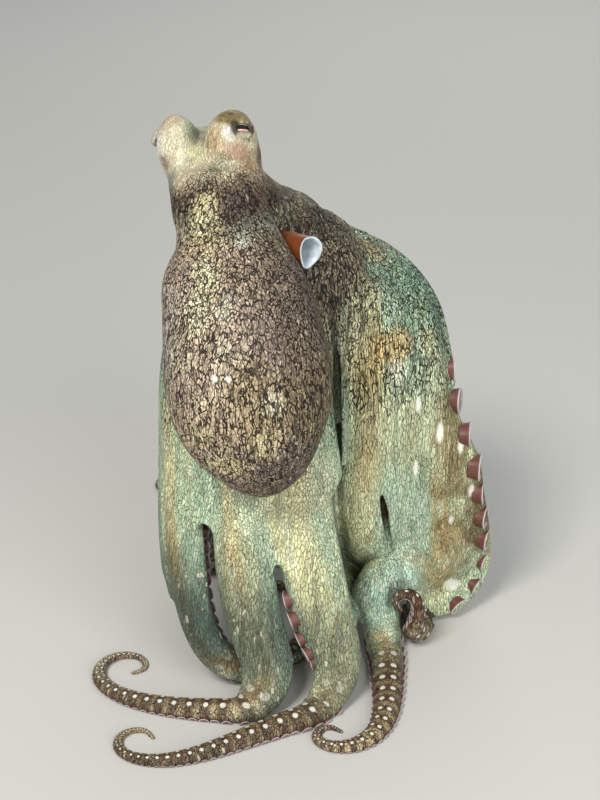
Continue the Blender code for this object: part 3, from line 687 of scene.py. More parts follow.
MANTLE_PATCHES = [
    (srgb(236, 226, 182), (-36.5, -92, 205), (7.5, 12, 14), 0.8),
    (srgb(236, 228, 190), (-40.5, -98, 193), (6, 9, 12), 0.75),
    (srgb(228, 224, 196), (-29.5, -96, 197), (4.5, 8, 9), 0.6),
    (srgb(228, 226, 200), (-23.0, -80, 219), (3.0, 4, 3.6), 0.85),
    (srgb(222, 216, 186), (-10.5, -112.5, 161.5), (5.0, 6, 7.0), 0.6),
    (srgb(226, 220, 190), (-30.0, -104, 183), (4.0, 6, 5.4), 0.5),
    (srgb(216, 204, 150), (-39, -108, 147), (8, 8, 8), 0.6),
    (srgb(220, 208, 156), (-28, -110, 134), (12, 11, 8), 0.7),
    (srgb(220, 208, 156), (-14, -112, 144), (7, 8, 9), 0.6),
    (srgb(210, 198, 150), (4, -96, 150), (5.5, 12, 9), 0.5),
    (srgb(196, 192, 180), (-52, -84, 176), (4.5, 18, 34), 0.5),
    (srgb(210, 198, 158), (-34, -60, 178), (7, 6, 12), 0.5),
    (srgb(210, 198, 158), (-10, -58, 158), (8, 6, 9), 0.5),
    (srgb(248, 246, 236), (-33.5, -109.7, 171.5), (1.6, 3, 1.8), 1.0),
    (srgb(248, 246, 236), (-28.0, -111.0, 172.0), (1.5, 3, 1.7), 1.0),
]
BELL_PATCHES = [
    (srgb(148, 192, 162), (45, -5, 176), (17, 14, 15), 0.7),
    (srgb(120, 150, 126), (58, -6, 150), (9, 12, 18), 0.5),
    (srgb(196, 200, 160), (26, -28, 168), (10, 12, 20), 0.6),
    (srgb(150, 190, 160), (52, -8, 165), (12, 14, 22), 0.6),
    (srgb(104, 98, 76), (79, -6, 112), (8, 14, 34), 0.75),
    (srgb(226, 190, 122), (39.5, -27, 149), (12, 10, 9), 0.7),
    (srgb(236, 234, 212), (42.5, -27.9, 137.5), (4.5, 5, 7), 0.75),
    (srgb(214, 208, 166), (36, -30, 112), (12, 12, 26), 0.55),
    (srgb(140, 118, 78), (68, -18, 98), (12, 12, 32), 0.8),
    (srgb(178, 170, 132), (55, -22, 108), (12, 12, 24), 0.5),
    (srgb(190, 210, 182), (42, -22, 62), (20, 20, 32), 0.75),
    (srgb(190, 216, 194), (40, -26, 26), (19, 20, 20), 0.95),
    (srgb(226, 228, 188), (-21, -60, 92), (13, 16, 22), 0.45),
    (srgb(214, 212, 170), (24, -32, 66), (10, 12, 26), 0.6),
    (srgb(228, 222, 180), (6, -60, 96), (15, 16, 24), 0.5),
    (srgb(166, 142, 98), (68, -8, 46), (12, 12, 24), 0.7),
    (srgb(104, 66, 44), (38.2, -25, 69), (3.4, 4.5, 9), 0.9),
    (srgb(104, 88, 60), (85, -6, 76), (13, 18, 50), 0.8),
    (srgb(146, 136, 114), (6, -34, 192), (28, 18, 20), 0.9),
    (srgb(206, 200, 164), (22, -34, 158), (8, 10, 16), 0.6),
    (srgb(78, 70, 60), (4, -30, 212), (22, 15, 12), 0.85),
    # painted shade along the furrow beside the mantle
    (srgb(70, 60, 50), (14, -42, 150), (4.5, 8, 34), 0.75),
    (srgb(94, 58, 42), (50, -40, 27), (13, 9, 14), 0.9),
]
WHITE_SPOTS = [((-33.5, -109.7, 171.5), (1.5, 3, 1.7)), ((-28.0, -111.0, 172.0), (1.4, 3, 1.6)),
               ((62.5, -23.5, 106.5), (1.8, 4, 5.4)), ((72.6, -18.6, 97.5), (1.7, 4, 4.6)),
               ((78.4, -13.6, 73.5), (1.8, 4, 5.2)), ((71.8, -4, 17.5), (5.4, 6, 3.8)),
               ((52.0, -24.5, 121.0), (1.6, 4, 4.4)), ((70, -14, 56), (1.6, 5, 4.4)), ((52, -26, 90), (1.4, 5, 5.0))]


def near_patch(points, rough, centre, radii, low=0.45, high=1.15):
    q = (points - np.array(centre, float)) / np.array(radii, float)
    return 1 - smooth(np.sqrt((q * q).sum(1)) + rough, low, high)


def mix(a, b, t):
    t = np.asarray(t, float)
    if t.ndim and (np.shape(b) == (3,) or np.ndim(b) == 2):
        t = t[:, None]
    return a * (1 - t) + b * t


def body_parts(points):
    """How much of each point is head and mantle; the rest is bell and arms."""
    x, y, z = points.T
    line, _ = natural_spline(MANTLE)
    k, _ = nearest_on(line[:, :3], points, 10)
    v = points - line[k, :3]
    q = np.sqrt((v[:, 0] / line[k, 3]) ** 2 + (v[:, 1] ** 2 + v[:, 2] ** 2) / line[k, 4] ** 2)
    mantle = (1 - smooth(q, 1.03, 1.16)) * (1 - smooth(z, 214, 228))
    head = smooth(z - 0.2 * np.maximum(0, y + 34), 206, 222) * (1 - mantle)
    return head, mantle


def paint(points, place, hollow):
    """Ground colour (with painted shade in folds and near the floor, and painted light and shade across the mantle),
    line colour, the net's widths and strength, white spots and wrinkles.
    """
    x, y, z = points.T
    s, streak, broad = place["s"], place["streak"], place["broad"]
    head, mantle = body_parts(points)
    bell = np.clip(1 - head - mantle, 0, 1)
    n1, n2, n3 = noise(points, 34, 1), noise(points, 14, 2), noise(points, 6, 3)
    rough = 0.22 * n3 + 0.16 * n2
    across = place["lateral"] / (0.5 * place["width"])
    middle = 1 - np.abs(across)
    gap = np.linalg.norm((points - (-2, -24, 190)) / (1, 1, 1.1), axis=1)
    crown = bell * (1 - smooth(gap + 5 * n2, 26, 38))
    tail = bell * smooth(s - 74 * (place["which"] == RING.index("R2")), 176, 214)
    shade = np.array([0.60, 0.0, 0.0, 0.35, 0.35, 0.45, 0.85, 0.80])[place["which"]]     # painted shade near the floor, by arm
    below = np.array([78, 40, 40, 60, 60, 70, 92, 92.0])[place["which"]] - z

    # arms and web: mint, cream and gold in long streaks, teal at the margins, and painted shade in the folds
    ground = mix(MINT, CREAM, smooth(0.6 * broad + 0.5 * streak + 0.45 * middle, -0.15, 0.75))
    warm = smooth(0.8 * middle + 0.70 * place["warm"] + 0.35 * streak, 0.30, 1.05)
    ground = mix(ground, GOLD, 0.72 * warm)
    ground = mix(ground, TEAL, 0.36 * smooth(n1 + 0.5 * streak - 0.3 * middle + 0.4 * smooth(z, 125, 165), 0.35, 0.95))
    ground = mix(ground, srgb(214, 220, 190), 0.6 * smooth(streak + 0.3 * n3, 0.55, 0.8))
    # painted shade: teal in folds and hollows
    ground = mix(ground, TEAL, 0.25 * smooth(hollow, 0.25, 0.60))
    # painted shade: each arm darkens towards dark teal near the floor
    ground = mix(ground, FLOOR_SHADE_TEAL, shade * smooth(below, 0, 52) * (1 - tail))
    ground = mix(ground, mix(BROWN, TAN, smooth(streak + 0.5 * np.cos(2 * np.pi * place["count"]), -0.2, 0.9)), tail * 0.9)
    ground = mix(ground, MINT, tail * 0.8 * smooth(-across, 0.45, 0.9) * (1 - smooth(s, 250, 300)))
    grain = 0.15 * np.clip(streak, -1.2, 1.2) + 0.17 * np.clip(place["crinkle"], -1.2, 1.2)
    ground = ground * (1 + grain * (1 - crown))[:, None]
    ground = mix(ground, mix(TAN, UMBER, smooth(n2, -0.5, 0.5)), crown * 0.9)
    for colour, centre, radii, strength in BELL_PATCHES:
        ground = mix(ground, colour, strength * bell * near_patch(points, rough, centre, radii))
    # mantle
    skin = 1.02 * mix(MAUVE, TAN, smooth(n1 + 0.4 * n2, -0.4, 0.5))
    # lighter on the left, darker on the right: partly the mantle's own colour, partly painted light from the left and
    # painted shade on the right
    skin = skin * (1.36 - 0.82 * smooth(x + 6 * n2, -42, 4))[:, None]
    fleck = smooth(noise(points * (1, 1, 0.6), 8.5, 31) + 0.45 * noise(points * (1, 1, 0.7), 3.6, 32) - 0.022 * (x + 26), 0.25, 0.75)
    skin = mix(skin, srgb(228, 218, 186), 0.40 * fleck) * 0.90
    skin = mix(skin, srgb(204, 186, 150), 0.5 * smooth(n2 + 0.5 * n1 + 0.25 * n3, 0.35, 0.8))
    for colour, centre, radii, strength in MANTLE_PATCHES:
        skin = mix(skin, colour, strength * near_patch(points, rough, centre, radii))
    ground = mix(ground, skin, mantle)
    # head
    face = mix(srgb(206, 190, 160), srgb(232, 220, 186), smooth(n2 + 0.5 * smooth(z, 232, 244), -0.3, 0.6))
    face = mix(face, PINK, 0.4 * smooth(n1 + 0.5 * n3, 0.1, 0.8))
    below = 0.906 * z + 0.423 * y + 0.30 * np.maximum(0, -36 - x) + 2.5 * n3 + 3.5 * n2
    face = mix(face, srgb(108, 90, 72), 0.90 * (1 - smooth(below, 184, 198)))
    mottle = smooth(x, -38, -30) * smooth(-z, -252, -244) * smooth(noise(points, 4.2, 21) + 0.5 * noise(points, 1.9, 22), 0.12, 0.5)
    face = mix(face, srgb(138, 100, 66), 0.55 * mottle)
    for colour, centre, radii, strength in HEAD_PATCHES:
        face = mix(face, colour, strength * near_patch(points, 0.7 * rough, centre, radii))
    brow = near_patch(points, 0.6 * rough, (-26.5, -45.5, 258.5), (10, 8, 4.2))
    face = mix(face, srgb(130, 112, 48), 0.9 * brow)
    face = mix(face, srgb(70, 54, 34), 0.8 * brow * smooth(noise(points, 2.3, 23), 0.30, 0.55))
    for eye in EYES.values():       # the folds of the lids are dark, most at both ends of the pupil
        v = points - np.array(eye["centre"])
        away = np.linalg.norm(v, axis=1)
        along, up, look = eye_axes(eye)
        v = v / away[:, None]
        front = v @ look
        ends = np.abs(v @ along) / np.sqrt(np.maximum(1 - front ** 2, 1e-3))
        lid = (1 - smooth(away, eye["radius"] + 1.8, eye["radius"] + 3.0)) * smooth(front, 0.68, 0.80)
        lid = lid * (1.0 if eye is EYES["R"] else 0.4)
        face = mix(face, srgb(30, 23, 20), lid * (0.22 + 0.72 * smooth(ends, 0.50, 0.90)))
    ground = mix(ground, face * 0.86, head)
    # painted shade: much darker deep in folds and hollows
    ground = mix(ground, ground * 0.42, 0.7 * smooth(hollow, 0.50, 0.95))

    upper = bell * smooth(z + 10 * n2 + 6 * streak, 98, 142) * (1 - tail)
    height = 0.906 * z + 0.423 * y + 0.30 * np.maximum(0, -36 - x) + 3.0 * n3 + 3.0 * n2
    neck = np.clip(head + mantle, 0, 1) * smooth(z, 200, 214) * (1 - smooth(height, 186, 198))
    dark = np.clip(mantle + crown + 0.9 * upper + tail + neck, 0, 1)
    ink = mix(OLIVE, MAROON, dark)
    ink = mix(ink, srgb(84, 76, 60), head * (1 - neck))
    small = 0.22 + 0.01 * mantle + 0.05 * crown + 0.03 * upper - 0.03 * head * (1 - neck)
    strength = np.clip(0.74 + 0.02 * mantle + 0.10 * crown - 0.30 * head * (1 - neck) + 0.16 * n2, 0.05, 0.95)
    coarse = 0.15 + 0.90 * mantle + 1.08 * crown + 0.68 * upper + 0.25 * tail + 0.95 * head * neck - 0.15 * head * (1 - neck)
    coarse = np.maximum(coarse * (1 + 0.16 * n2 + 0.16 * n1), 0.0)

    white = np.zeros(len(points))
    for centre, radii in WHITE_SPOTS:
        white = np.maximum(white, near_patch(points, 0.5 * rough, centre, radii, 0.5, 1.1))
    dots = np.stack([place["count"], across * 0.5, np.clip(tail * 0.95 + 0.0 * bell, 0, 1)], 1)

    # wrinkles: arcs round the right turret and rings of the false eye
    axis = np.hypot((x + 25.5) / 1.0, (y + 45) / 1.05)
    arcs = head * smooth(axis, 8.5, 11) * (1 - smooth(axis, 19, 23)) * smooth(-x, 27, 32) * smooth(z, 224, 234) * (1 - smooth(z, 252, 258))
    rings = np.linalg.norm(points - (-31.5, -56.8, 241.8), axis=1)
    inside = head * (1 - smooth(rings, 4.6, 6.2))
    phase = np.where(inside > arcs * 0.8, rings / 1.05, axis / 0.95 + 0.10 * z)
    wrinkle = np.maximum(0.9 * inside, 0.65 * arcs * (1 - smooth(-rings, -7.5, -5)))
    masks = dict(head=head, mantle=mantle, bell=bell, tail=tail, crown=crown, upper=upper, neck=neck)
    return dict(ground=ground, ink=ink, net=np.stack([small, strength, coarse], 1), white=white, dots=dots,
                wrinkle=np.stack([phase, wrinkle], 1), masks=masks)


# ------------------------------------------------------------------ meshes


def make_mesh(name, points, faces, material=None):
    mesh = bpy.data.meshes.new(name)
    mesh.from_pydata(((np.asarray(points) + SHIFT) * MM).tolist(), [], [list(map(int, f)) for f in faces])
    mesh.update()
    mesh.shade_smooth()
    obj = bpy.data.objects.new(name, mesh)
    bpy.context.scene.collection.objects.link(obj)
    if material:
        mesh.materials.append(material)
    return obj


def skin_mesh(points, quads):
    mesh = bpy.data.meshes.new("skin")
    mesh.vertices.add(len(points))
    mesh.vertices.foreach_set("co", ((points + SHIFT) * MM).astype(np.float32).ravel())
    mesh.loops.add(quads.size)
    mesh.loops.foreach_set("vertex_index", quads.astype(np.int32).ravel())
    mesh.polygons.add(len(quads))
    mesh.polygons.foreach_set("loop_start", np.arange(0, quads.size, 4, dtype=np.int32))
    mesh.update(calc_edges=True)
    mesh.validate()
    mesh.shade_smooth()
    return mesh


def vertex_normals(points, quads):
    a, b, c, d = (points[quads[:, i]] for i in range(4))
    n = np.cross(c - a, d - b)
    out = np.zeros_like(points)
    for i in range(4):
        for axis in range(3):
            out[:, axis] += np.bincount(quads[:, i], n[:, axis], len(points))
    return unit(out)


def set_colour(mesh, name, rgb):
    values = np.ones((len(rgb), 4), np.float32)
    values[:, :3] = rgb
    mesh.attributes.new(name, "FLOAT_COLOR", "POINT").data.foreach_set("color", values.ravel())


def set_vector(mesh, name, rows):
    mesh.attributes.new(name, "FLOAT_VECTOR", "POINT").data.foreach_set("vector", rows.astype(np.float32).ravel())


# ------------------------------------------------------------------ materials


class Nodes:
    """A short way to write a node tree."""

    def __init__(self, name):
        self.material = bpy.data.materials.new(name)
        self.material.use_nodes = True
        self.tree = self.material.node_tree
        self.bsdf = self.tree.nodes["Principled BSDF"]

    def new(self, kind, inputs=None, **settings):
        node = self.tree.nodes.new(kind)
        for key, value in settings.items():
            setattr(node, key, value)
        for key, value in (inputs or {}).items():
            self.put(node.inputs[key], value)
        return node

    def put(self, socket, value):
        if isinstance(value, bpy.types.NodeSocket):
            self.tree.links.new(value, socket)
        elif isinstance(value, (tuple, list, np.ndarray)) and len(value) == 3 and socket.type == "RGBA":
            socket.default_value = (*[float(v) for v in value], 1.0)
        else:
            socket.default_value = value

    def math(self, operation, a, b=0.0, c=0.0, clamp=False):
        return self.new("ShaderNodeMath", {0: a, 1: b, 2: c}, operation=operation, use_clamp=clamp).outputs[0]

    def mix(self, fac, a, b, blend="MIX"):
        node = self.new("ShaderNodeMix", data_type="RGBA", blend_type=blend)
        self.put(node.inputs["Factor"], fac)
        self.put(node.inputs[6], a)
        self.put(node.inputs[7], b)
        return node.outputs[2]

    def step(self, value, low, high, to_low=0.0, to_high=1.0):
        node = self.new("ShaderNodeMapRange", {"Value": value, "From Min": low, "From Max": high,
                                                "To Min": to_low, "To Max": to_high},
                        interpolation_type="SMOOTHSTEP")
        return node.outputs["Result"]

    def attribute(self, name, output="Color"):
        return self.new("ShaderNodeAttribute", attribute_name=name, attribute_type="GEOMETRY").outputs[output]

    def split(self, vector):
        return self.new("ShaderNodeSeparateXYZ", {"Vector": vector}).outputs

    def vector(self, operation, a, b=(0.0, 0.0, 0.0), output=0):
        return self.new("ShaderNodeVectorMath", {0: a, 1: b}, operation=operation).outputs[output]

    def noise(self, vector, scale, detail=2.0, rough=0.5, output="Fac"):
        return self.new("ShaderNodeTexNoise", {"Vector": vector, "Scale": scale, "Detail": detail,
                                               "Roughness": rough}, noise_dimensions="3D").outputs[output]

    def warp(self, vector, scale, amount, detail=1.0):
        shift = self.vector("SUBTRACT", self.noise(vector, scale, detail, 0.5, "Color"), (0.5, 0.5, 0.5))
        return self.vector("ADD", vector, self.vector("MULTIPLY", shift, (amount, amount, amount)))


def skin_material():
    """Two nested nets of dark lines over cells; line widths are true millimetres, although
    the cells are stretched upright."""
    t = Nodes("octopus_skin")
    flow = t.attribute("flow", "Vector")
    ground, ink = t.attribute("ground"), t.attribute("ink")
    small_width, small_strength, big_width = t.split(t.attribute("net", "Vector"))
    count, across, dotted = t.split(t.attribute("dots", "Vector"))
    phase, wrinkled, white = t.split(t.attribute("wrinkle", "Vector"))

    spot = t.warp(t.warp(flow, 0.22, 3.0), 0.9, 0.9)
    first = t.new("ShaderNodeTexVoronoi", {"Vector": spot, "Scale": 1 / CELL}, feature="F1", voronoi_dimensions="3D")
    second = t.new("ShaderNodeTexVoronoi", {"Vector": spot, "Scale": 1 / CELL}, feature="F2", voronoi_dimensions="3D")
    p1, p2 = first.outputs["Position"], second.outputs["Position"]
    r1, r2 = (t.math("MULTIPLY", v.outputs["Distance"], CELL) for v in (first, second))
    between = t.vector("SUBTRACT", p2, p1)
    apart = t.vector("LENGTH", between, output=1)
    rise = t.math("SUBTRACT", t.math("MULTIPLY", r2, r2), t.math("MULTIPLY", r1, r1))
    edge = t.math("DIVIDE", rise, t.math("MULTIPLY", apart, 2.0))
    wall = t.vector("MULTIPLY", t.vector("NORMALIZE", between), t.attribute("stretch", "Vector"))
    normal = t.new("ShaderNodeNewGeometry").outputs["Normal"]
    steep = t.vector("LENGTH", t.vector("CROSS_PRODUCT", wall, normal), output=1)      # walls seen on the slant
    edge = t.math("DIVIDE", edge, t.math("MAXIMUM", steep, 0.22))

    def group(place):
        return t.new("ShaderNodeTexVoronoi", {"Vector": t.vector("MULTIPLY", place, (1.0, 1.0, 0.50)),
                                              "Scale": 1 / (2.3 * CELL)}, feature="F1",
                     voronoi_dimensions="3D").outputs["Color"]

    group1, group2 = group(p1), group(p2)
    border = t.math("GREATER_THAN", t.vector("DISTANCE", group1, group2, output=1), 0.001)

    fine = t.step(t.math("DIVIDE", edge, small_width), 0.30, 0.85, 1.0, 0.0)
    fine = t.math("MULTIPLY", fine, small_strength)
    thick = t.math("MULTIPLY", border, t.step(t.math("DIVIDE", edge, t.math("ADD", big_width, 0.001)), 0.27, 0.56, 1.0, 0.0))
    thick = t.math("MULTIPLY", thick, t.step(big_width, 0.08, 0.35))
    # long upright veins, where a slow noise crosses its middle
    tall = t.warp(t.vector("MULTIPLY", flow, (1.0, 1.0, 0.26)), 0.5, 1.2)
    vein = t.math("ABSOLUTE", t.math("SUBTRACT", t.noise(tall, 0.30, 1.0), 0.5))
    vein = t.math("MULTIPLY", t.step(vein, 0.020, 0.050, 1.0, 0.0), t.step(big_width, 0.20, 0.80, 0.0, 0.85))
    thick = t.math("MAXIMUM", thick, t.math("MULTIPLY", vein, t.step(edge, 0.25, 0.9, 1.0, 0.45)))
    lines = t.math("MAXIMUM", fine, t.math("MULTIPLY", thick, 0.96), clamp=True)

    tone = t.split(first.outputs["Color"])
    tone2 = t.split(group1)
    shade = t.math("MULTIPLY_ADD", tone[0], 0.26, 0.86)
    shade = t.math("MULTIPLY", shade, t.math("MULTIPLY_ADD", t.noise(flow, 1.1, 3.0), 0.5, 0.75))
    shade = t.math("MULTIPLY", shade, t.math("MULTIPLY_ADD", tone2[0], 0.46, 0.82))
    shade = t.math("MULTIPLY", shade, t.step(edge, 0.0, 0.8, 0.86, 1.06))
    grey = t.new("ShaderNodeCombineColor", {"Red": shade, "Green": shade, "Blue": shade})
    base = t.mix(1.0, ground, grey.outputs[0], "MULTIPLY")
    pale = t.math("MULTIPLY", t.step(tone[1], 0.955, 0.985), t.math("MULTIPLY", small_strength, 0.55))
    base = t.mix(pale, base, tuple(IVORY))

    # round pale spots in two rows along the free lengths of the arms
    step = t.math("SUBTRACT", t.math("FRACT", count), 0.5)
    up = t.math("MULTIPLY", step, 0.66)
    off = t.math("SUBTRACT", t.math("ABSOLUTE", across), 0.20)
    away = t.math("SQRT", t.math("ADD", t.math("MULTIPLY", up, up), t.math("MULTIPLY", off, off)))
    dot = t.math("MULTIPLY", t.step(away, 0.075, 0.135, 1.0, 0.0), dotted)
    base = t.mix(t.math("MULTIPLY", dot, 0.92), base, tuple(WHITE))
    lines = t.math("MULTIPLY", lines, t.math("SUBTRACT", 1.0, t.math("MULTIPLY", dot, 0.85)))
    lines = t.math("MULTIPLY", lines, t.math("SUBTRACT", 1.0, t.math("MULTIPLY", white, 0.8)))

    # fine wrinkles of the head, with painted shade in their grooves
    wave = t.math("SINE", t.math("MULTIPLY_ADD", phase, 6.2832, t.math("MULTIPLY", t.noise(flow, 0.5, 1.0), 5.0)))
    crease = t.math("MULTIPLY", t.step(wave, 0.35, 0.95), wrinkled)
    base = t.mix(white, base, tuple(WHITE))
    base = t.mix(lines, base, ink)
    # painted shade: the grooves of the wrinkles are darker
    base = t.mix(t.math("MULTIPLY", crease, 0.62), base, tuple(srgb(62, 66, 56)))
    t.put(t.bsdf.inputs["Base Color"], base)

    t.put(t.bsdf.inputs["Roughness"], t.math("MULTIPLY_ADD", lines, 0.10, 0.46))
    t.bsdf.inputs["Specular IOR Level"].default_value = 0.16
    t.bsdf.inputs["Coat Weight"].default_value = 0.03
    t.bsdf.inputs["Coat Roughness"].default_value = 0.25
    # cells are little cushions between sunken lines
    height = t.math("SUBTRACT", t.step(edge, 0.0, 0.9), t.math("MULTIPLY", crease, 0.8))
    height = t.math("ADD", height, t.math("MULTIPLY", t.noise(flow, 1.4, 3.0), 0.55))
    height = t.math("SUBTRACT", height, t.math("MULTIPLY", thick, 0.6))
    bump = t.new("ShaderNodeBump", {"Height": height, "Strength": 0.5, "Distance": 0.0005})
    t.put(t.bsdf.inputs["Normal"], bump.outputs[0])
    return t.material


def sucker_material():
    t = Nodes("octopus_suckers")
    tone = t.attribute("tone")
    where = t.new("ShaderNodeTexCoord").outputs["Object"]
    grain = t.noise(where, 700.0, 2.0)
    base = t.mix(t.math("MULTIPLY", grain, 0.30), tone, (0.10, 0.05, 0.05))
    t.put(t.bsdf.inputs["Base Color"], base)
    t.bsdf.inputs["Roughness"].default_value = 0.48
    bump = t.new("ShaderNodeBump", {"Height": grain, "Strength": 0.25, "Distance": 0.0003})
    t.put(t.bsdf.inputs["Normal"], bump.outputs[0])
    return t.material


def eye_material():
    """A dark level bar across a pinkish-bronze iris, edged by a painted highlight line, seen through a wet surface;
    `local` is the place on a ball of radius 1 whose Z looks out and whose X lies along the bar."""
    t = Nodes("octopus_eye")
    where = t.attribute("local", "Vector")
    x, y, z = t.split(where)
    bend = t.math("SUBTRACT", t.math("MULTIPLY_ADD", t.math("MULTIPLY", x, x), 0.30, y), 0.10)
    width = t.math("SUBTRACT", 0.16, t.math("MULTIPLY", t.math("MULTIPLY", x, x), 0.28))
    edge = t.math("SUBTRACT", t.math("ABSOLUTE", bend), width)
    slit = t.math("MULTIPLY", t.step(edge, -0.02, 0.02, 1.0, 0.0), t.step(t.math("ABSOLUTE", x), 0.50, 0.58, 1.0, 0.0))
    # painted highlight: a pale line round the pupil's bar
    rim = t.math("MULTIPLY", t.step(edge, 0.02, 0.04), t.step(edge, 0.07, 0.10, 1.0, 0.0))
    rim = t.math("MULTIPLY", rim, t.step(t.math("ABSOLUTE", x), 0.46, 0.56, 1.0, 0.0))
    radius = t.math("SQRT", t.math("ADD", t.math("MULTIPLY", x, x), t.math("MULTIPLY", y, y)))
    speck = t.noise(where, 9.0, 4.0)
    iris = t.mix(t.step(speck, 0.35, 0.65), tuple(srgb(132, 84, 74)), tuple(srgb(188, 146, 126)))
    iris = t.mix(t.step(radius, 0.44, 0.56), iris, tuple(srgb(30, 20, 18)))
    iris = t.mix(t.math("MULTIPLY", rim, 0.9), iris, tuple(srgb(238, 226, 214)))
    base = t.mix(slit, iris, (0.003, 0.003, 0.004))
    t.put(t.bsdf.inputs["Base Color"], base)
    t.bsdf.inputs["Roughness"].default_value = 0.12
    t.bsdf.inputs["Coat Weight"].default_value = 1.0
    t.bsdf.inputs["Coat Roughness"].default_value = 0.03
    return t.material


def funnel_material():
    t = Nodes("octopus_funnel")
    tone = t.attribute("tone")
    where = t.new("ShaderNodeTexCoord").outputs["Object"]
    grain = t.noise(t.vector("MULTIPLY", where, (1.0, 1.0, 1.0)), 380.0, 3.0)
    base = t.mix(t.math("MULTIPLY", t.step(grain, 0.4, 0.7), 0.35), tone, t.vector("MULTIPLY", tone, (0.35, 0.3, 0.3)))
    t.put(t.bsdf.inputs["Base Color"], base)
    t.bsdf.inputs["Roughness"].default_value = 0.36
    bump = t.new("ShaderNodeBump", {"Height": grain, "Strength": 0.25, "Distance": 0.0004})
    t.put(t.bsdf.inputs["Normal"], bump.outputs[0])
    return t.material


# ------------------------------------------------------------------ suckers

# radius, height and tone of a sucker of radius 1, from its foot over the rim into the cup
SUCKER = [(0.66, -0.55, 0), (0.74, -0.10, 0), (0.84, 0.25, 0), (0.95, 0.52, 1), (1.00, 0.62, 2), (0.97, 0.69, 2),
          (0.88, 0.68, 2), (0.72, 0.52, 3), (0.52, 0.38, 3), (0.34, 0.28, 4), (0.26, 0.05, 5)]
# rows that show past the margin of an arm: (arm, side): where they begin and end
EDGES = {("R2", 1): (60, 72, 200, 214), ("R4", -1): (132, 144, 172, 184)}
EDGE_ROW = (71, 85, 101, 118, 135, 151, 165, 178, 190, 200)     # the row that shows past the right arm's margin


def build_suckers(arms):
    verts, faces, tones = [], [], []
    # the cup's own mauve darkens to near black at its bottom: painted shade in the cup
    palette = [srgb(102, 60, 48), srgb(112, 72, 66), srgb(208, 198, 198), srgb(160, 138, 142), srgb(124, 98, 104),
               srgb(60, 42, 46)]
    base = 0
    for name in RING:
        arm = arms[name]
        for row in (-1, 1):
            s = 40.0 + (2.6 if row > 0 else 0.0)
            edge = EDGES.get((name, row))
            queue = list(EDGE_ROW) if name == "R2" and edge else []
            if queue:
                s = queue.pop(0)
            while s < arm.length - 2.0:
                point, side, normal, width, thick, _ = arm.at(s)
                core = float(np.interp(s, arm.s, arm.core))
                r = 0.195 * core
                low = float(smooth(-point[2], -0.75 * thick, -0.45 * thick))     # lying on the floor
                share = 0.24 + 0.16 * low
                tilt = math.radians(14 + 44 * low)
                on = float(smooth(s, edge[0], edge[1]) * (1 - smooth(s, edge[2], edge[3]))) if edge else 0.0
                share = share + (0.50 - share) * on
                turned = math.radians(86 + 26 * (1 - float(smooth(s, 76, 126))) + 9 * math.sin(2.3 * s))
                tilt = tilt + (turned - tilt) * on
                r = r * (1 + (0.22 + 0.08 * math.sin(3.1 * s)) * on)
                lateral = row * share * width
                inner = 0.78 * math.sqrt(max(0.0, 1 - (2 * share) ** 2))
                foot = point + side * (lateral - row * (0.9 * on + 2.4 * on * (1 - float(smooth(s, 66, 100))))) - normal * (thick / 2 * inner - 0.25 * r)
                axis = unit(-normal * math.cos(tilt) + side * (row * math.sin(tilt)) - np.array([0, 0, 0.12]) * on)
                foot = foot + axis * (0.25 * r * on)
                u = unit(np.cross(axis, (0.31, 0.27, 0.91)))
                v = np.cross(axis, u)
                count = 28 if r > 2.5 else 18 if r > 1.2 else 12
                phi = 2 * np.pi * np.arange(count) / count
                wave = 1 + 0.05 * np.sin(2 * phi + s) + 0.025 * np.sin(5 * phi + 2 * s)
                rings = []
                for number, (radius, height, tone) in enumerate(SUCKER):
                    radius += 0.5 * on * (1 - radius) * (number < 4)       # those at the margin stand on a broad foot
                    rings.append(foot + axis * (height * r * (1 - 0.28 * on)) + np.outer(np.cos(phi) * wave, u) * radius * r
                                 + np.outer(np.sin(phi) * wave, v) * radius * r)
                    tones += [palette[tone]] * count
                rings.append((foot - axis * (0.02 * r))[None])
                tones.append(palette[5])
                block = np.concatenate(rings)
                block[:, 2] = np.maximum(block[:, 2], 0.02)
                verts.append(block)
                for k in range(len(SUCKER) - 1):
                    for j in range(count):
                        a, b = base + k * count + j, base + k * count + (j + 1) % count
                        faces.append((a, b, b + count, a + count))
                last = base + (len(SUCKER) - 1) * count
                for j in range(count):
                    faces.append((last + j, last + (j + 1) % count, last + count))
                base += len(block)
                s = queue.pop(0) if queue else s + 2.12 * r + 0.2
    return np.concatenate(verts), faces, np.array(tones)


# ------------------------------------------------------------------ build


def eyeball(name, eye, material):
    verts, faces = ellipsoid((0, 0, 0), (1, 1, 1), 0, 64, 48)
    along, up, look = eye_axes(eye)
    placed = verts[:, :1] * along + verts[:, 1:2] * up + verts[:, 2:] * look
    obj = make_mesh(name, placed * eye["radius"] + np.array(eye["centre"]), faces, material)
    set_vector(obj.data, "local", verts)
    return obj


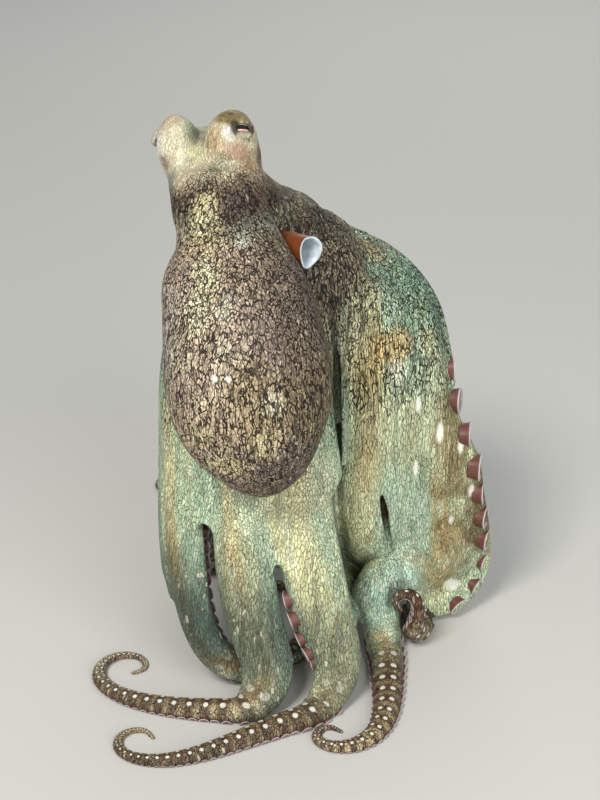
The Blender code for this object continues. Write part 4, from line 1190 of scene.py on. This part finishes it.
def funnel_piece(material, count=64):
    q, length = natural_spline(SIPHON)
    t = unit(np.gradient(q[:, :3], axis=0))
    end = length[-1]
    phi = 2 * np.pi * np.arange(count) / count
    wave = 1 + 0.012 * np.sin(3 * phi + 0.6) + 0.008 * np.sin(7 * phi)

    def ring(s, inset, flare=0.0):
        row = np.array([np.interp(s, length, q[:, c]) for c in range(4)])
        along = unit(np.array([np.interp(s, length, t[:, c]) for c in range(3)]))
        side = unit(np.cross((0, 0, 1.0), along))
        normal = np.cross(along, side)
        share = s / end
        taper = (0.42 + 0.58 * share ** 0.9) * (6.2 / row[3])
        r = np.maximum(0.5, row[3] * taper * (1 + (wave - 1) * share ** 2) - inset + flare)[:, None]
        skew = along * (0.9 * np.sin(2 * phi + 1.0) * share ** 4)[:, None]
        return row[:3] + r * (np.outer(np.cos(phi), side) + np.outer(np.sin(phi) * 1.12, normal)) + skew

    outer = [ring(s, 0) for s in np.linspace(0, end - 0.8, 26)]
    lip = [ring(end - 0.25, 0.05, 0.1), ring(end, 0.30, 0.15), ring(end - 0.05, 0.75), ring(end - 0.5, 1.0)]
    bore = [ring(end - d, 1.1 + 0.03 * d) for d in (1.5, 3, 5, 7, 9, 11, 13, 15)]
    verts, faces = tube(outer + lip + bore)
    rust, dark, pale = srgb(128, 68, 34), srgb(44, 24, 18), srgb(206, 216, 222)
    tones = []
    # painted shade: the funnel darkens towards its root, where it leaves the mantle, and on its underside
    for k in range(26):
        row = mix(dark, rust, float(smooth(k / 25, 0.1, 0.75)))
        low = smooth(-np.sin(phi), 0.2, 0.9) * 0.6
        tones.append(mix(np.tile(row, (count, 1)), dark, low))
    tones.append(np.tile(rust * 0.9, (count, 1)))
    tones += [np.tile(pale * v, (count, 1)) for v in (0.95, 1.05, 1.0)]
    # painted shade: the bore darkens inwards, most at its far end
    tones += [np.tile(pale * (1 - 0.05 * k), (count, 1)) for k in range(8)]
    tones += [dark[None], (pale * 0.4)[None]]
    obj = make_mesh("funnel", verts, faces, material)
    set_colour(obj.data, "tone", np.concatenate(tones))
    return obj


def build():
    arms, field, points, quads = build_skin()
    normals = vertex_normals(points, quads)
    # how deep each point lies in a fold or hollow; paint() darkens there as painted shade
    hollow = np.maximum(1 - field.sample(points + normals * 3.5) / 3.4,
                        1 - field.sample(points + normals * 7.0) / 6.6)
    place = arm_places(arms, points)
    look = paint(points, place, hollow)
    masks = look["masks"]

    ridge = np.sign(place["ridge"]) * np.abs(place["ridge"]) ** 0.8
    free = masks["bell"] * (1 - masks["tail"]) * smooth(place["s"], 18, 50)
    lift = free * (1.25 * ridge * (0.55 + 0.75 * smooth(points[:, 2], 100, 155)) + 0.28 * place["crinkle"])
    lift += masks["mantle"] * (0.75 * noise(points, 21, 13) + 0.30 * noise(points * (1, 1, 0.5), 8, 14))
    lift += masks["head"] * (0.35 * noise(points, 6.5, 15) + 0.15 * noise(points, 3.2, 16))
    lift += masks["crown"] * 0.5 * noise(points, 6, 17)
    lift -= look["wrinkle"][:, 1] * 0.10 * (0.5 + 0.5 * np.sin(2 * np.pi * look["wrinkle"][:, 0]))
    for side in ("R", "L"):         # the lids stay close to the ball
        away = np.linalg.norm(points - np.array(EYES[side]["centre"]), axis=1)
        lift *= smooth(away, 7.0, 9.5)
    lift *= smooth(points[:, 2], 1.0, 6.0)
    flow, stretch = net_space(points, masks["mantle"])
    points = points + normals * lift[:, None]

    mesh = skin_mesh(points, quads)
    mesh.materials.append(skin_material())
    set_vector(mesh, "flow", flow)
    set_vector(mesh, "stretch", stretch)
    set_colour(mesh, "ground", look["ground"])
    set_colour(mesh, "ink", look["ink"])
    set_vector(mesh, "net", look["net"])
    set_vector(mesh, "dots", look["dots"])
    set_vector(mesh, "wrinkle", np.column_stack([look["wrinkle"], look["white"]]))
    skin = bpy.data.objects.new("skin", mesh)
    bpy.context.scene.collection.objects.link(skin)

    sucker_points, sucker_faces, tones = build_suckers(arms)
    suckers = make_mesh("suckers", sucker_points, sucker_faces, sucker_material())
    set_colour(suckers.data, "tone", tones)
    funnel = funnel_piece(funnel_material())
    ball = eye_material()
    eyes = {side: eyeball("eyeball_" + side, EYES[side], ball) for side in ("R", "L")}

    flesh = [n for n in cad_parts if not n.startswith("eye_") and n != "siphon"]
    for piece, nodes, slot in ((skin, flesh, "arm_skin"), (suckers, [], "arm_skin"), (funnel, ["siphon"], "funnel"),
                               (eyes["R"], ["eye_R"], "eye"), (eyes["L"], ["eye_L"], "eye")):
        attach(piece, "root")
        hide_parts(*nodes)
    print("skin", len(points), "suckers", len(sucker_faces))


def studio():
    scene = bpy.context.scene
    tilt, reach = math.radians(25.0), 850.0
    target = np.array([SHIFT[0], SHIFT[1], 111.5])
    forward = np.array([0.0, math.cos(tilt), -math.sin(tilt)])
    where = target - reach * forward
    camera = bpy.data.cameras.new("camera")
    camera.sensor_fit, camera.sensor_height = "VERTICAL", 36.0
    camera.lens = 36.0 / (800 * 0.457 / reach)
    eye = bpy.data.objects.new("camera", camera)
    eye.location = tuple(where * MM)
    eye.rotation_euler = (math.radians(90) - tilt, 0.0, 0.0)
    scene.collection.objects.link(eye)
    scene.camera = eye

    floor_mesh = bpy.data.meshes.new("floor")
    floor_mesh.from_pydata([(-3, -3, 0), (3, -3, 0), (3, 3, 0), (-3, 3, 0)], [], [(0, 1, 2, 3)])
    t = Nodes("floor")
    t.bsdf.inputs["Base Color"].default_value = (0.62, 0.60, 0.56, 1)
    t.bsdf.inputs["Roughness"].default_value = 0.8
    floor_mesh.materials.append(t.material)
    floor = bpy.data.objects.new("floor", floor_mesh)
    scene.collection.objects.link(floor)

    def lamp(name, place, size, power, colour=(1, 1, 1)):
        data = bpy.data.lights.new(name, "AREA")
        data.size, data.energy, data.color = size, power, colour
        obj = bpy.data.objects.new(name, data)
        obj.location = place
        direction = unit(np.array([0.0, 0.0, 0.12]) - np.array(place))
        yaw = math.atan2(direction[0], -direction[1])
        pitch = math.acos(max(-1, min(1, -direction[2])))
        obj.rotation_euler = (pitch, 0.0, yaw + math.pi)
        scene.collection.objects.link(obj)

    lamp("key", (-0.50, -1.10, 1.30), 0.45, 20.0, (1.0, 0.98, 0.94))
    lamp("fill", (0.60, -1.25, 0.70), 0.9, 12.0, (0.94, 0.98, 1.0))
    lamp("back", (0.3, 1.3, 0.9), 1.0, 5.0)
    world = bpy.data.worlds.new("world")
    world.use_nodes = True
    world.node_tree.nodes["Background"].inputs[0].default_value = (0.80, 0.87, 0.90, 1)
    world.node_tree.nodes["Background"].inputs[1].default_value = 0.36
    scene.world = world
    scene.view_settings.view_transform = "Standard"


build()
studio()
